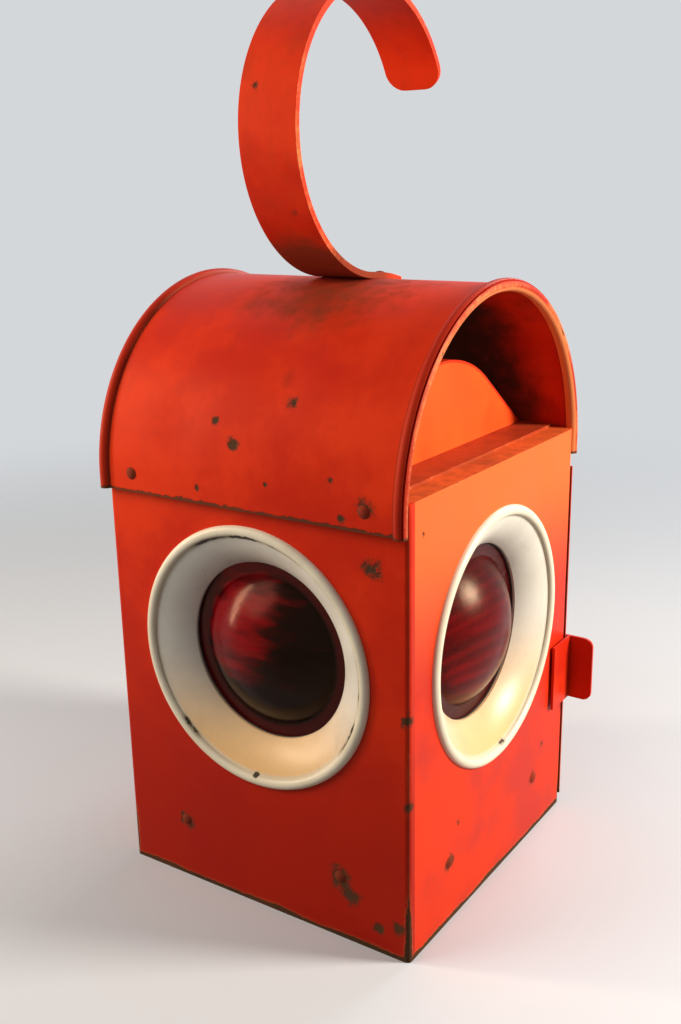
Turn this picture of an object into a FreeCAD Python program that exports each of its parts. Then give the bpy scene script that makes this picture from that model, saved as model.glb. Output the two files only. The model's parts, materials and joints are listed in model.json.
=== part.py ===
import FreeCAD, Part
import math
import os

# A paraffin road danger lamp: sheet-steel house, three ruby lenses, barrel hood and strap hook.
# Millimetres. The origin is the centre of the underside, -Y is the front lens, +Y the door, +Z up.

Vector = FreeCAD.Vector
UP = Vector(0, 0, 1)

# House
body_width = 140.0
body_depth = 140.0
body_height = 181.0
sheet = 1.0
bend_radius = 2.0
fold_width = 10.0
corner_return = 4.0

# Floor pan, its rivets and the ring that locates the fount
pan_flange = 33.0
pan_sill = 8.0
pan_rivet_height = 27.0
pan_rivet_inset = 31.0
seat_ring_height = 7.0
seat_ring_wall = 1.5

# Rivets
rivet_shank = 1.5
rivet_head = 2.5
rivet_rise = 0.9
rivet_tail = 2.4
rivet_tail_rise = 0.8
rivet_fit = 0.05

# Lens sets
lens_height = 109.0
dish_radius = 53.6
dish_lip = 4.4
dish_lip_rise = 2.0
dish_depth = 9.8
dish_bow = 1.2
dish_sheet = 1.0
dish_fit = 0.3
aperture_radius = 36.5
lens_radius = 39.0
lens_fit = 0.4
lens_flange = 4.0
dome_radius = 31.0
dome_rise = 13.0
seal_thickness = 0.8
seal_width = 2.6
retainer_wire = 2.0
retainer_gap = 16.0
collar_spare = 1.4

# Deck and inner roof
deck_opening_width = 76.0
deck_opening_depth = 84.0
roof_end_inset = 25.0
roof_pitch = 36.5
roof_crown_radius = 62.0
roof_vent_radius = 3.5
roof_vent_pitch = 15.0
roof_vent_columns = 5
roof_vent_row_pitch = 14.0

# Hood
hood_gap = 2.4
hood_overlap = 11.5
hood_skirt = 5.3
hood_overhang = 0.8
hood_bead = 5.0
hood_rivet_inset = 16.0
hood_rivet_rise = 2.2
spacer_radius = 3.2

# Hook
strap_width = 25.4
strap_thickness = 2.5
hook_radius = 55.0
hook_lean = 2.4
hook_foot_length = 19.2
hook_tip_angle = 21.0
hook_tip_round = 8.0
hook_rivet_angle = 11.0
hook_rivet_spacing = 14.0
backing_thickness = 2.0
backing_margin = 4.0

# Door and its air holes
moving_gap = 0.3
door_bottom = 4.0
door_top_gap = 5.5
door_edge = 0.7
head_lap = 7.0
air_hole_radius = 3.5
air_hole_count = 5
air_hole_pitch = 15.0
air_hole_height = 42.0
baffle_height = 26.0
baffle_width = 84.0
baffle_stand_off = 6.0

# Door hinges
leaf_thickness = 1.0
leaf_height = 30.0
leaf_reach = 22.0
body_leaf_width = 13.0
knuckle_radius = 2.5
knuckle_gap = 0.4
knuckle_set_off = 0.1
pin_radius = 1.25
pin_fit = 0.05
pin_head_rise = 0.8
pin_stand_off = 1.6
hinge_foot_height = 45.0
hinge_top_drop = 25.0
hinge_rivet_spacing = 16.0
body_leaf_rivet_inset = 5.5
door_leaf_rivet_inset = 5.0

# Latch
latch_height = 69.5
latch_width = 30.0
latch_strip = 1.2
latch_base_length = 24.0
latch_rivet_inset = 6.0
latch_rivet_spacing = 15.0
latch_leg = 16.0
latch_leg_gap = 1.0
latch_tab_reach = 13.0
latch_tab_round = 4.0
latch_dimple_radius = 3.0

# Fount
fount_radius = 50.0
fount_wall = 0.8
fount_side = 36.0
fount_shoulder = 5.0
fount_crown = 3.0
fount_seat_radius = 18.0
fount_mouth_radius = 12.9
seat_fit = 0.4
collar_wall = 3.5
collar_height = 6.0
filler_offset = 33.0
filler_angle = 40.0
filler_radius = 8.0
filler_wall = 1.2
filler_height = 6.0
cap_wall = 1.6
cap_top = 2.0
cap_notch = 1.0
cap_notches = 20

# Burner and wick
plug_fit = 0.1
plug_depth = 5.0
burner_flange = 2.0
burner_lip = 1.5
gallery_radius = 17.0
gallery_wall = 0.8
gallery_height = 17.0
gallery_hole_radius = 2.2
gallery_holes = 12
gallery_hole_height = 4.5
dome_height = 22.0
dome_slot_length = 17.0
dome_slot_width = 6.0
dome_top_radius = 10.0
tube_wall = 0.9
tube_top_gap = 6.0
wick_width = 14.0
wick_thickness = 2.0
wick_fit = 0.3
wick_floor_gap = 6.0
wick_show = 4.0
wheel_radius = 5.0
wheel_tooth = 0.9
wheel_teeth = 10
wheel_thickness = 2.0
wheel_spacing = 8.0
wheel_gap = 0.2
spindle_radius = 1.2
spindle_fit = 0.05
spindle_height = 8.7
spindle_end = 1.0
lug_thickness = 1.6
lug_wall = 1.6
knob_radius = 8.0
knob_thickness = 4.0
knob_scallop = 1.3
knob_scallops = 12
knob_reach = 34.0

# Places that follow from the sizes above
half_width = body_width / 2
half_depth = body_depth / 2
inner_width = half_width - sheet
inner_depth = half_depth - sheet
deck_top = body_height + sheet
hood_bottom = body_height - hood_overlap
hood_axis = hood_bottom + hood_skirt
hood_inner = half_depth + hood_gap
hood_outer = hood_inner + sheet
hood_half = half_width + hood_overhang
hook_foot_end = hook_lean + math.degrees(hook_foot_length / hood_outer)
door_inner = half_depth + moving_gap
door_outer = door_inner + sheet
door_top = hood_bottom - door_top_gap
hinge_heights = (hinge_foot_height, door_top - hinge_top_drop)
hinge_x = -(half_width + knuckle_radius + knuckle_set_off)
hinge_y = door_outer + pin_stand_off
throat_radius = dish_radius - dish_lip + dish_sheet * 0.8
collar_inner = lens_radius + lens_fit
lens_front = dish_depth + dish_sheet + seal_thickness
lens_back = lens_front + lens_flange
collar_end = lens_back + retainer_wire + collar_spare
fount_bottom = sheet + moving_gap
fount_top = fount_bottom + fount_side + fount_shoulder + fount_crown
collar_top = fount_top + collar_height
gallery_bottom = collar_top + burner_flange
gallery_top = gallery_bottom + gallery_height
dome_top = gallery_top + dome_height
wick_top = dome_top - tube_top_gap + wick_show
spindle_z = gallery_bottom + spindle_height
spindle_x = wick_thickness / 2 + wheel_gap + wheel_radius
drill_reach = hood_gap + strap_thickness + backing_thickness + 3 * sheet
tube_outer_x = wick_thickness / 2 + wick_fit + tube_wall
tube_outer_y = wick_width / 2 + wick_fit + tube_wall


def box(x_span, y_span, z_span):
    """A block between two limits along each axis."""
    size = [span[1] - span[0] for span in (x_span, y_span, z_span)]
    return Part.makeBox(*size, Vector(x_span[0], y_span[0], z_span[0]))


def rod(radius, start, end):
    """A round bar from one point to another."""
    along = end - start
    return Part.makeCylinder(radius, along.Length, start, along)


def outline(start, *steps):
    """A flat face: a point draws a line to it, a pair of points an arc through the first."""
    edges = []
    here = start
    for step in steps:
        if isinstance(step, tuple):
            through, end = step
            edges.append(Part.Arc(here, through, end).toShape())
        else:
            end = step
            edges.append(Part.LineSegment(here, end).toShape())
        here = end
    if here.distanceToPoint(start) > 1e-6:
        edges.append(Part.LineSegment(here, start).toShape())
    return Part.Face(Part.Wire(edges))


def turned(r, z):
    """A point of a lathe profile."""
    return Vector(r, 0, z)


def lathe(face):
    """A profile turned once round the upright axis."""
    return face.revolve(Vector(0, 0, 0), UP, 360)


def aimed(shape, place, direction):
    """A shape made along +Z, carried to a place and turned to a direction."""
    moved = shape.copy()
    moved.Placement = FreeCAD.Placement(place, FreeCAD.Rotation(UP, direction))
    return moved


def joined(shapes):
    """Several solids fused into one clean solid."""
    return shapes[0].fuse(shapes[1:]).removeSplitter()


def mirrored(shape):
    """The same piece for the other side of the lamp."""
    return shape.mirror(Vector(0, 0, 0), Vector(1, 0, 0))


def on_arc(centre_z, radius, angle, centre_y=0.0, x=0.0):
    """A point in the side view, by its angle from upright towards the rear."""
    turn = math.radians(angle)
    return Vector(x, centre_y + radius * math.sin(turn), centre_z + radius * math.cos(turn))


def rivet(place, outward, grip):
    """A domed rivet whose head sits on a face and whose tail is set behind the grip."""
    ball = (rivet_head ** 2 + rivet_rise ** 2) / (2 * rivet_rise)
    half_turn = math.asin(rivet_head / ball) / 2
    crown = turned(ball * math.sin(half_turn), rivet_rise - ball + ball * math.cos(half_turn))
    profile = outline(
        turned(0, rivet_rise),
        (crown, turned(rivet_head, 0)),
        turned(rivet_shank, 0),
        turned(rivet_shank, -grip),
        turned(rivet_tail, -grip),
        turned(rivet_tail, -grip - rivet_tail_rise),
        turned(0, -grip - rivet_tail_rise),
    )
    return aimed(lathe(profile), place, outward)


def drill(shape, places):
    """Rivet holes through a sheet, each from its outer place along its outward direction."""
    depth = drill_reach
    radius = rivet_shank + rivet_fit
    holes = [rod(radius, place + way * depth, place - way * depth) for place, way in places]
    return shape.cut(holes)


LENS_SIDES = {
    "front": (Vector(0, -half_depth, lens_height), Vector(0, -1, 0)),
    "left": (Vector(-half_width, 0, lens_height), Vector(-1, 0, 0)),
    "right": (Vector(half_width, 0, lens_height), Vector(1, 0, 0)),
}


def pan_rivet_places(side):
    """The two floor rivets in a face of the house."""
    face, way = LENS_SIDES[side]
    reach = (half_width if side == "front" else half_depth) - pan_rivet_inset
    along = Vector(way.y, way.x, 0)
    low = Vector(face.x, face.y, pan_rivet_height)
    return [(low + along * reach, way), (low - along * reach, way)]


def all_pan_rivet_places():
    """Every floor rivet of the house."""
    return [place for side in LENS_SIDES for place in pan_rivet_places(side)]


def hood_rivet_places(way_y):
    """The two hood rivets at the front or the rear, on the outer face of the hood."""
    height = hood_axis + hood_rivet_rise
    columns = (hood_rivet_inset - half_width, half_width - hood_rivet_inset)
    return [(Vector(x, way_y * hood_outer, height), Vector(0, way_y, 0)) for x in columns]


def body_leaf_rivet_places():
    """Rivets that hold the hinge leaves to the left panel."""
    way = Vector(-1, 0, 0)
    y = half_depth - body_leaf_width + body_leaf_rivet_inset
    x = -half_width - leaf_thickness
    rows = (-hinge_rivet_spacing / 2, hinge_rivet_spacing / 2)
    return [(Vector(x, y, height + row), way) for height in hinge_heights for row in rows]


def door_leaf_rivet_places():
    """Rivets that hold the hinge leaves to the door."""
    way = Vector(0, 1, 0)
    x = hinge_x + leaf_reach - door_leaf_rivet_inset
    y = door_outer + leaf_thickness
    rows = (-hinge_rivet_spacing / 2, hinge_rivet_spacing / 2)
    return [(Vector(x, y, height + row), way) for height in hinge_heights for row in rows]


def latch_rivet_places():
    """Rivets that hold the latch base to the door."""
    x = half_width - latch_base_length + latch_rivet_inset
    y = door_outer + latch_strip
    rows = (-latch_rivet_spacing / 2, latch_rivet_spacing / 2)
    return [(Vector(x, y, latch_height + row), Vector(0, 1, 0)) for row in rows]


def hook_rivet_places():
    """Rivets through the hook's foot, square to the crown of the hood."""
    way = on_arc(0, 1, hook_rivet_angle)
    foot_top = hood_outer + strap_thickness
    columns = (-hook_rivet_spacing / 2, hook_rivet_spacing / 2)
    return [(on_arc(hood_axis, foot_top, hook_rivet_angle, x=column), way) for column in columns]


def rivet_group(places, grip):
    """Separate rivets that share one node."""
    return Part.makeCompound([rivet(place, way, grip) for place, way in places])


def dish_hole(side):
    """The round opening that a dish drops into."""
    face, way = LENS_SIDES[side]
    return rod(throat_radius + dish_fit, face + way * sheet, face - way * 2 * sheet)


def corner(centre_x, centre_y, radius, way_x, way_y):
    """The middle of a bend's arc, in plan."""
    part = radius / math.sqrt(2)
    return Vector(centre_x + way_x * part, centre_y + way_y * part, 0)


def front_panel():
    """The front sheet, bent round both front corners."""
    inner_bend = bend_radius - sheet
    cx = half_width - bend_radius
    cy = -half_depth + bend_radius
    end = -half_depth + corner_return
    face = outline(
        Vector(half_width, end, 0),
        Vector(half_width, cy, 0),
        (corner(cx, cy, bend_radius, 1, -1), Vector(cx, -half_depth, 0)),
        Vector(-cx, -half_depth, 0),
        (corner(-cx, cy, bend_radius, -1, -1), Vector(-half_width, cy, 0)),
        Vector(-half_width, end, 0),
        Vector(-inner_width, end, 0),
        Vector(-inner_width, cy, 0),
        (corner(-cx, cy, inner_bend, -1, -1), Vector(-cx, -inner_depth, 0)),
        Vector(cx, -inner_depth, 0),
        (corner(cx, cy, inner_bend, 1, -1), Vector(inner_width, cy, 0)),
        Vector(inner_width, end, 0),
    )
    panel = face.extrude(Vector(0, 0, body_height)).cut(dish_hole("front"))
    return drill(panel, pan_rivet_places("front") + hood_rivet_places(-1))


def side_sheet():
    """The right-hand sheet before drilling, with its rear and top folds."""
    inner_bend = bend_radius - sheet
    cx = half_width - bend_radius
    cy = half_depth - bend_radius
    start = -half_depth + corner_return
    fold = half_width - fold_width
    face = outline(
        Vector(half_width, start, 0),
        Vector(half_width, cy, 0),
        (corner(cx, cy, bend_radius, 1, 1), Vector(cx, half_depth, 0)),
        Vector(fold, half_depth, 0),
        Vector(fold, inner_depth, 0),
        Vector(cx, inner_depth, 0),
        (corner(cx, cy, inner_bend, 1, 1), Vector(inner_width, cy, 0)),
        Vector(inner_width, start, 0),
    )
    wall = face.extrude(Vector(0, 0, body_height))
    top_fold = box((fold, inner_width), (inner_bend - inner_depth, inner_depth),
                   (body_height - sheet, body_height))
    return joined([wall, top_fold])


def side_panel(side):
    """The left or right sheet with its lens opening and rivet holes."""
    panel = side_sheet()
    places = pan_rivet_places(side)
    if side == "left":
        panel = mirrored(panel)
        places = places + body_leaf_rivet_places()
    return drill(panel.cut(dish_hole(side)), places)


def rear_head():
    """The band across the top of the door opening."""
    fold = half_width - fold_width
    band = box((-fold, fold), (inner_depth, half_depth), (door_top - head_lap, body_height))
    return drill(band, hood_rivet_places(1))


def rear_sill():
    """The low strip across the foot of the door opening."""
    fold = half_width - fold_width
    return box((-fold, fold), (inner_depth, half_depth), (0, pan_sill))


def floor_pan():
    """The floor, turned up inside the three lens panels and left low at the door."""
    width = (-inner_width, inner_width)
    depth = (-inner_depth, inner_depth)
    pan = box(width, depth, (0, pan_flange))
    inside = (-inner_width + sheet, inner_width - sheet)
    pan = pan.cut(box(inside, (-inner_depth + sheet, inner_depth - sheet), (sheet, pan_flange)))
    pan = pan.cut(box(inside, (inner_depth - sheet, inner_depth), (pan_sill, pan_flange)))
    notches = [box((x - bend_radius, x + bend_radius), (y - bend_radius, y + bend_radius), (0, pan_flange))
               for x in width for y in depth]
    return drill(pan.cut(notches), all_pan_rivet_places())


def fount_seat():
    """The ring on the floor that the fount stands in."""
    inner = fount_radius + seat_fit
    start = Vector(0, 0, sheet)
    end = Vector(0, 0, sheet + seat_ring_height)
    return rod(inner + seat_ring_wall, start, end).cut(rod(inner, start, end))


def top_deck():
    """The flat plate that closes the house round the flue opening."""
    fold = half_width - fold_width
    opening = (deck_opening_width / 2, deck_opening_depth / 2)
    plate = box((-fold, fold), (-half_depth, half_depth), (body_height, deck_top))
    return plate.cut(box((-opening[0], opening[0]), (-opening[1], opening[1]), (body_height, deck_top)))


def roof_gable(inset):
    """The side view of the inner roof: two slopes that meet in a round ridge."""
    pitch = math.radians(roof_pitch)
    radius = roof_crown_radius - inset
    drop = inset / math.sin(pitch)
    foot = inner_depth - drop
    tangent_y = radius * math.sin(pitch)
    tangent_z = deck_top + (foot - tangent_y) * math.tan(pitch)
    ridge = tangent_z + radius * (1 - math.cos(pitch))
    return outline(
        Vector(0, -foot, deck_top),
        Vector(0, -tangent_y, tangent_z),
        (Vector(0, 0, ridge), Vector(0, tangent_y, tangent_z)),
        Vector(0, foot, deck_top),
    )


def inner_roof():
    """The ridged roof over the flue, with vents along its crown."""
    reach = half_width - roof_end_inset
    length = Vector(2 * reach, 0, 0)
    roof = roof_gable(0).extrude(length).cut(roof_gable(sheet).extrude(length))
    roof.translate(Vector(-reach, 0, 0))
    first = -(roof_vent_columns - 1) / 2
    vents = [rod(roof_vent_radius, Vector((first + column) * roof_vent_pitch, row, deck_top),
                 Vector((first + column) * roof_vent_pitch, row, hood_axis + hood_inner))
             for column in range(roof_vent_columns)
             for row in (-roof_vent_row_pitch, 0, roof_vent_row_pitch)]
    return roof.cut(vents)


def roof_end():
    """The right-hand plate that closes the inner roof."""
    plate = roof_gable(sheet).extrude(Vector(sheet, 0, 0))
    plate.translate(Vector(half_width - roof_end_inset - sheet, 0, 0))
    return plate


def hood_arch(radius):
    """The side view of everything within a radius under the hood."""
    return outline(
        Vector(0, -radius, hood_bottom),
        Vector(0, -radius, hood_axis),
        (Vector(0, 0, hood_axis + radius), Vector(0, radius, hood_axis)),
        Vector(0, radius, hood_bottom),
    )


def hood_end_bead():
    """The rolled edge at the right-hand end of the hood."""
    roll = hood_bead / 2
    middle = hood_outer - sheet / 2
    x = hood_half - roll
    ring = Part.Face(Part.Wire(Part.makeCircle(roll, Vector(x, -middle, hood_axis), UP)))
    arch = ring.revolve(Vector(0, 0, hood_axis), Vector(1, 0, 0), -180)
    legs = [rod(roll, Vector(x, y, hood_bottom), Vector(x, y, hood_axis)) for y in (-middle, middle)]
    return joined([arch] + legs)


def hood():
    """The half-barrel weather hood with both ends rolled."""
    reach = hood_half - hood_bead / 2
    length = Vector(2 * reach, 0, 0)
    barrel = hood_arch(hood_outer).extrude(length).cut(hood_arch(hood_inner).extrude(length))
    barrel.translate(Vector(-reach, 0, 0))
    bead = hood_end_bead()
    whole = joined([barrel, bead, mirrored(bead)])
    places = hood_rivet_places(-1) + hood_rivet_places(1) + hook_rivet_places()
    return drill(whole, places)


def hood_spacers():
    """Four tubes that hold the hood off the house."""
    reach = math.sqrt(hood_inner ** 2 - (hood_rivet_rise + spacer_radius) ** 2)
    tubes = []
    for way_y in (-1, 1):
        for place, way in hood_rivet_places(way_y):
            start = Vector(place.x, way_y * half_depth, place.z)
            end = Vector(place.x, way_y * reach, place.z)
            tubes.append(rod(spacer_radius, start, end).cut(rod(rivet_shank + rivet_fit, start, end)))
    return Part.makeCompound(tubes)


def hook():
    """The strap hook: a foot that follows the hood, then a round open hook."""
    foot_top = hood_outer + strap_thickness
    inside = hook_radius - strap_thickness
    centre = on_arc(hood_axis, hood_outer + hook_radius, hook_lean)
    tip = 90 - hook_tip_angle
    middle = (tip + 180 + hook_lean - 360) / 2
    foot_middle = (hook_lean + hook_foot_end) / 2
    tangent = on_arc(hood_axis, hood_outer, hook_lean)
    face = outline(
        on_arc(hood_axis, hood_outer, hook_foot_end),
        (on_arc(hood_axis, hood_outer, foot_middle), tangent),
        (on_arc(centre.z, hook_radius, middle, centre.y), on_arc(centre.z, hook_radius, tip, centre.y)),
        on_arc(centre.z, inside, tip, centre.y),
        (on_arc(centre.z, inside, middle, centre.y), on_arc(hood_axis, foot_top, hook_lean)),
        (on_arc(hood_axis, foot_top, foot_middle), on_arc(hood_axis, foot_top, hook_foot_end)),
    )
    strap = face.extrude(Vector(strap_width, 0, 0))
    strap.translate(Vector(-strap_width / 2, 0, 0))
    ends = [edge for edge in strap.Edges if abs(edge.Length - strap_thickness) < 1e-3
            and edge.CenterOfMass.z > centre.z]
    return drill(strap.makeFillet(hook_tip_round, ends), hook_rivet_places())


def hook_backing():
    """The plate under the crown that the hook is riveted through."""
    inside = hood_inner - backing_thickness
    spread = math.degrees(backing_margin / hood_inner)
    first = hook_lean - spread
    last = hook_foot_end + spread
    middle = (first + last) / 2
    face = outline(
        on_arc(hood_axis, hood_inner, first),
        (on_arc(hood_axis, hood_inner, middle), on_arc(hood_axis, hood_inner, last)),
        on_arc(hood_axis, inside, last),
        (on_arc(hood_axis, inside, middle), on_arc(hood_axis, inside, first)),
    )
    plate = face.extrude(Vector(strap_width, 0, 0))
    plate.translate(Vector(-strap_width / 2, 0, 0))
    return drill(plate, hook_rivet_places())


def bowl_middle(outer, inner, bow):
    """The middle of a dish's wall, bowed back from the straight line between its rims."""
    along = inner - outer
    back = Vector(along.z, 0, -along.x).normalize()
    return (outer + inner) * 0.5 - back * bow


def lens_dish():
    """The dish: a rolled lip on the face, a bowed wall and a collar for the lens."""
    lip_middle = dish_radius - dish_lip / 2
    lip_inner = dish_radius - dish_lip
    rim = turned(lip_inner, 0)
    floor_edge = turned(aperture_radius, -dish_depth)
    wall = floor_edge - rim
    back = Vector(-wall.z, 0, wall.x).normalize() * dish_sheet
    collar_outer = collar_inner + dish_sheet
    share = (lip_inner + back.x - collar_outer) / (lip_inner - aperture_radius)
    root = turned(collar_outer, wall.z * share + back.z)
    shoulder = turned(throat_radius, 0)
    face = outline(
        turned(dish_radius, 0),
        (turned(lip_middle, dish_lip_rise), rim),
        (bowl_middle(rim, floor_edge, -dish_bow), floor_edge),
        turned(aperture_radius, -dish_depth - dish_sheet),
        turned(collar_inner, -dish_depth - dish_sheet),
        turned(collar_inner, -collar_end),
        turned(collar_outer, -collar_end),
        root,
        (bowl_middle(shoulder, root, -dish_bow), shoulder),
    )
    return lathe(face)


def lens_seal():
    """The soft ring between the dish floor and the lens."""
    outer = lens_radius
    face = outline(
        turned(outer - seal_width, -dish_depth - dish_sheet),
        turned(outer, -dish_depth - dish_sheet),
        turned(outer, -lens_front),
        turned(outer - seal_width, -lens_front),
    )
    return lathe(face)


def lens():
    """The bull's-eye: a flat flange and a domed front."""
    ball = (dome_radius ** 2 + dome_rise ** 2) / (2 * dome_rise)
    half_turn = math.asin(dome_radius / ball) / 2
    centre = dome_rise - ball - lens_front
    through = turned(ball * math.sin(half_turn), centre + ball * math.cos(half_turn))
    face = outline(
        turned(0, -lens_back),
        turned(lens_radius, -lens_back),
        turned(lens_radius, -lens_front),
        turned(dome_radius, -lens_front),
        (through, turned(0, dome_rise - lens_front)),
    )
    return lathe(face)


def lens_retainer():
    """The split spring wire that keeps the lens in its collar."""
    roll = retainer_wire / 2
    middle = collar_inner - roll - lens_fit / 4
    ring = Part.Face(Part.Wire(Part.makeCircle(roll, turned(middle, -lens_back - roll), Vector(0, 1, 0))))
    return ring.revolve(Vector(0, 0, 0), UP, 360 - math.degrees(retainer_gap / middle))


def rear_door():
    """The rear door sheet with its air holes."""
    left = -half_width + door_edge
    sheet_span = (door_inner, door_outer)
    panel = box((left, half_width), sheet_span, (door_bottom, door_top))
    first = -(air_hole_count - 1) / 2
    holes = [rod(air_hole_radius, Vector((first + index) * air_hole_pitch, door_inner, air_hole_height),
                 Vector((first + index) * air_hole_pitch, door_outer, air_hole_height))
             for index in range(air_hole_count)]
    return drill(panel.cut(holes), door_leaf_rivet_places() + latch_rivet_places())


def door_baffle():
    """The bent strip that shields the air holes from draughts."""
    half = baffle_width / 2
    inner = door_inner - baffle_stand_off
    low = air_hole_height - baffle_height / 2
    high = air_hole_height + baffle_height / 2
    shelf = box((-half, half), (inner, door_inner), (low, low + sheet))
    wall = box((-half, half), (inner, inner + sheet), (low, high))
    return joined([shelf, wall])


def knuckle_bands(height):
    """The three lengths of a hinge's knuckle, from the foot up."""
    third = leaf_height / 3
    foot = height - leaf_height / 2
    return [(foot + third * index, foot + third * (index + 1)) for index in range(3)]


def knuckle(band):
    """One rolled length of knuckle about the pin."""
    return rod(knuckle_radius, Vector(hinge_x, hinge_y, band[0]), Vector(hinge_x, hinge_y, band[1]))


def pin_bore(height):
    """The bore that the pin turns in."""
    half = leaf_height
    bore = pin_radius + pin_fit
    return rod(bore, Vector(hinge_x, hinge_y, height - half), Vector(hinge_x, hinge_y, height + half))


def body_leaf(height):
    """A hinge leaf on the left panel, with the top and bottom knuckles."""
    low, middle, high = knuckle_bands(height)
    x_span = (-half_width - leaf_thickness, -half_width)
    plate = box(x_span, (half_depth - body_leaf_width, hinge_y), (low[0], high[1]))
    reach = knuckle_radius + knuckle_gap
    gap = box((hinge_x - reach, hinge_x + reach), (hinge_y - reach, hinge_y + reach),
              (middle[0], middle[1]))
    leaf = joined([plate.cut(gap), knuckle(low), knuckle(high)])
    return drill(leaf.cut(pin_bore(height)), body_leaf_rivet_places())


def door_leaf(height):
    """A hinge leaf on the door, with the middle knuckle."""
    low, middle, high = knuckle_bands(height)
    plate = box((hinge_x, hinge_x + leaf_reach), (door_outer, door_outer + leaf_thickness), (low[0], high[1]))
    reach = knuckle_radius + knuckle_gap
    gaps = [box((hinge_x - reach, hinge_x + reach), (hinge_y - reach, hinge_y + reach), span)
            for span in ((low[0], middle[0] + knuckle_gap), (middle[1] - knuckle_gap, high[1]))]
    inset = (middle[0] + knuckle_gap, middle[1] - knuckle_gap)
    leaf = joined([plate.cut(gaps), knuckle(inset)])
    return drill(leaf.cut(pin_bore(height)), door_leaf_rivet_places())


def hinge_pin(height):
    """A hinge pin with a spread head at each end."""
    half = leaf_height / 2
    foot = Vector(hinge_x, hinge_y, height - half)
    head = Vector(hinge_x, hinge_y, height + half)
    rise = Vector(0, 0, pin_head_rise)
    broad = pin_radius + pin_head_rise
    return joined([rod(pin_radius, foot - rise, head + rise), rod(broad, foot - rise, foot),
                   rod(broad, head, head + rise)])


def latch_base():
    """The flat end of the latch spring, riveted to the door."""
    z_span = (latch_height - latch_width / 2, latch_height + latch_width / 2)
    strip = box((half_width - latch_base_length, half_width), (door_outer, door_outer + latch_strip), z_span)
    return drill(strip, latch_rivet_places())


def latch_finger():
    """The sprung end of the latch: a leg along the right panel and a tab to pull."""
    low = latch_height - latch_width / 2
    high = latch_height + latch_width / 2
    root = half_width + moving_gap
    tip = half_width + latch_tab_reach
    straight = tip - latch_tab_round
    part = latch_tab_round / math.sqrt(2)
    y = door_outer
    face = outline(
        Vector(root, y, low),
        Vector(straight, y, low),
        (Vector(straight + part, y, low + latch_tab_round - part), Vector(tip, y, low + latch_tab_round)),
        Vector(tip, y, high - latch_tab_round),
        (Vector(straight + part, y, high - latch_tab_round + part), Vector(straight, y, high)),
        Vector(root, y, high),
    )
    tab = face.extrude(Vector(0, latch_strip, 0))
    leg_x = half_width + latch_leg_gap
    leg = box((leg_x, leg_x + latch_strip), (half_depth - latch_leg, door_outer), (low, high))
    sink = latch_dimple_radius - latch_leg_gap + moving_gap
    place = Vector(leg_x + sink, half_depth - latch_leg / 2, latch_height)
    ball = Part.makeSphere(latch_dimple_radius, place)
    dimple = ball.common(box((half_width, leg_x), (place.y - latch_leg, place.y + latch_leg), (low, high)))
    return joined([tab, leg, dimple])


def fount_profile(wall):
    """The fount's outline, set in by a wall."""
    radius = fount_radius - wall
    low = fount_bottom + wall
    side = fount_bottom + fount_side
    shoulder = fount_shoulder - wall
    part = shoulder / math.sqrt(2)
    top = fount_top - wall
    return outline(
        turned(0, low),
        turned(radius, low),
        turned(radius, side),
        (turned(radius - shoulder + part, side + part), turned(radius - shoulder, side + shoulder)),
        turned(fount_seat_radius, top),
        turned(0, top),
    )


def filler_axis(z):
    """A point on the filler's upright axis."""
    turn = math.radians(filler_angle)
    return Vector(filler_offset * math.cos(turn), filler_offset * math.sin(turn), z)


def fount():
    """The oil tank with its burner mouth and filler mouth."""
    tank = lathe(fount_profile(0)).cut(lathe(fount_profile(fount_wall)))
    mouth = rod(fount_mouth_radius, Vector(0, 0, fount_bottom + fount_side), Vector(0, 0, collar_top))
    filler = rod(filler_radius - filler_wall, filler_axis(fount_bottom + fount_side), filler_axis(collar_top))
    return tank.cut([mouth, filler])


def burner_collar():
    """The ring round the fount's mouth that the burner screws into."""
    start = Vector(0, 0, fount_top)
    end = Vector(0, 0, collar_top)
    return rod(fount_mouth_radius + collar_wall, start, end).cut(rod(fount_mouth_radius, start, end))


def filler_neck():
    """The filler's short neck, trimmed to the fount's shoulder."""
    start = filler_axis(fount_bottom + fount_side)
    end = filler_axis(fount_top + filler_height - fount_crown)
    ring = rod(filler_radius, start, end).cut(rod(filler_radius - filler_wall, start, end))
    return ring.cut(lathe(fount_profile(0)))


def filler_cap():
    """The filler cap: a notched cup over the neck."""
    neck_top = fount_top + filler_height - fount_crown
    bore = filler_radius + moving_gap
    outer = bore + cap_wall
    under = neck_top + moving_gap
    top = under + cap_top
    bottom = fount_top + moving_gap
    cup = rod(outer, filler_axis(bottom), filler_axis(top))
    cap = cup.cut(rod(bore, filler_axis(bottom), filler_axis(under)))
    middle = filler_axis(0)
    notches = []
    for index in range(cap_notches):
        turn = 2 * math.pi * index / cap_notches
        edge = middle + Vector(outer * math.cos(turn), outer * math.sin(turn), 0)
        notches.append(rod(cap_notch / 2, edge + UP * bottom, edge + UP * top))
    return cap.cut(notches)


def wick_slot(half_x, half_y, low, high):
    """An upright block about the wick."""
    return box((-half_x, half_x), (-half_y, half_y), (low, high))


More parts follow.
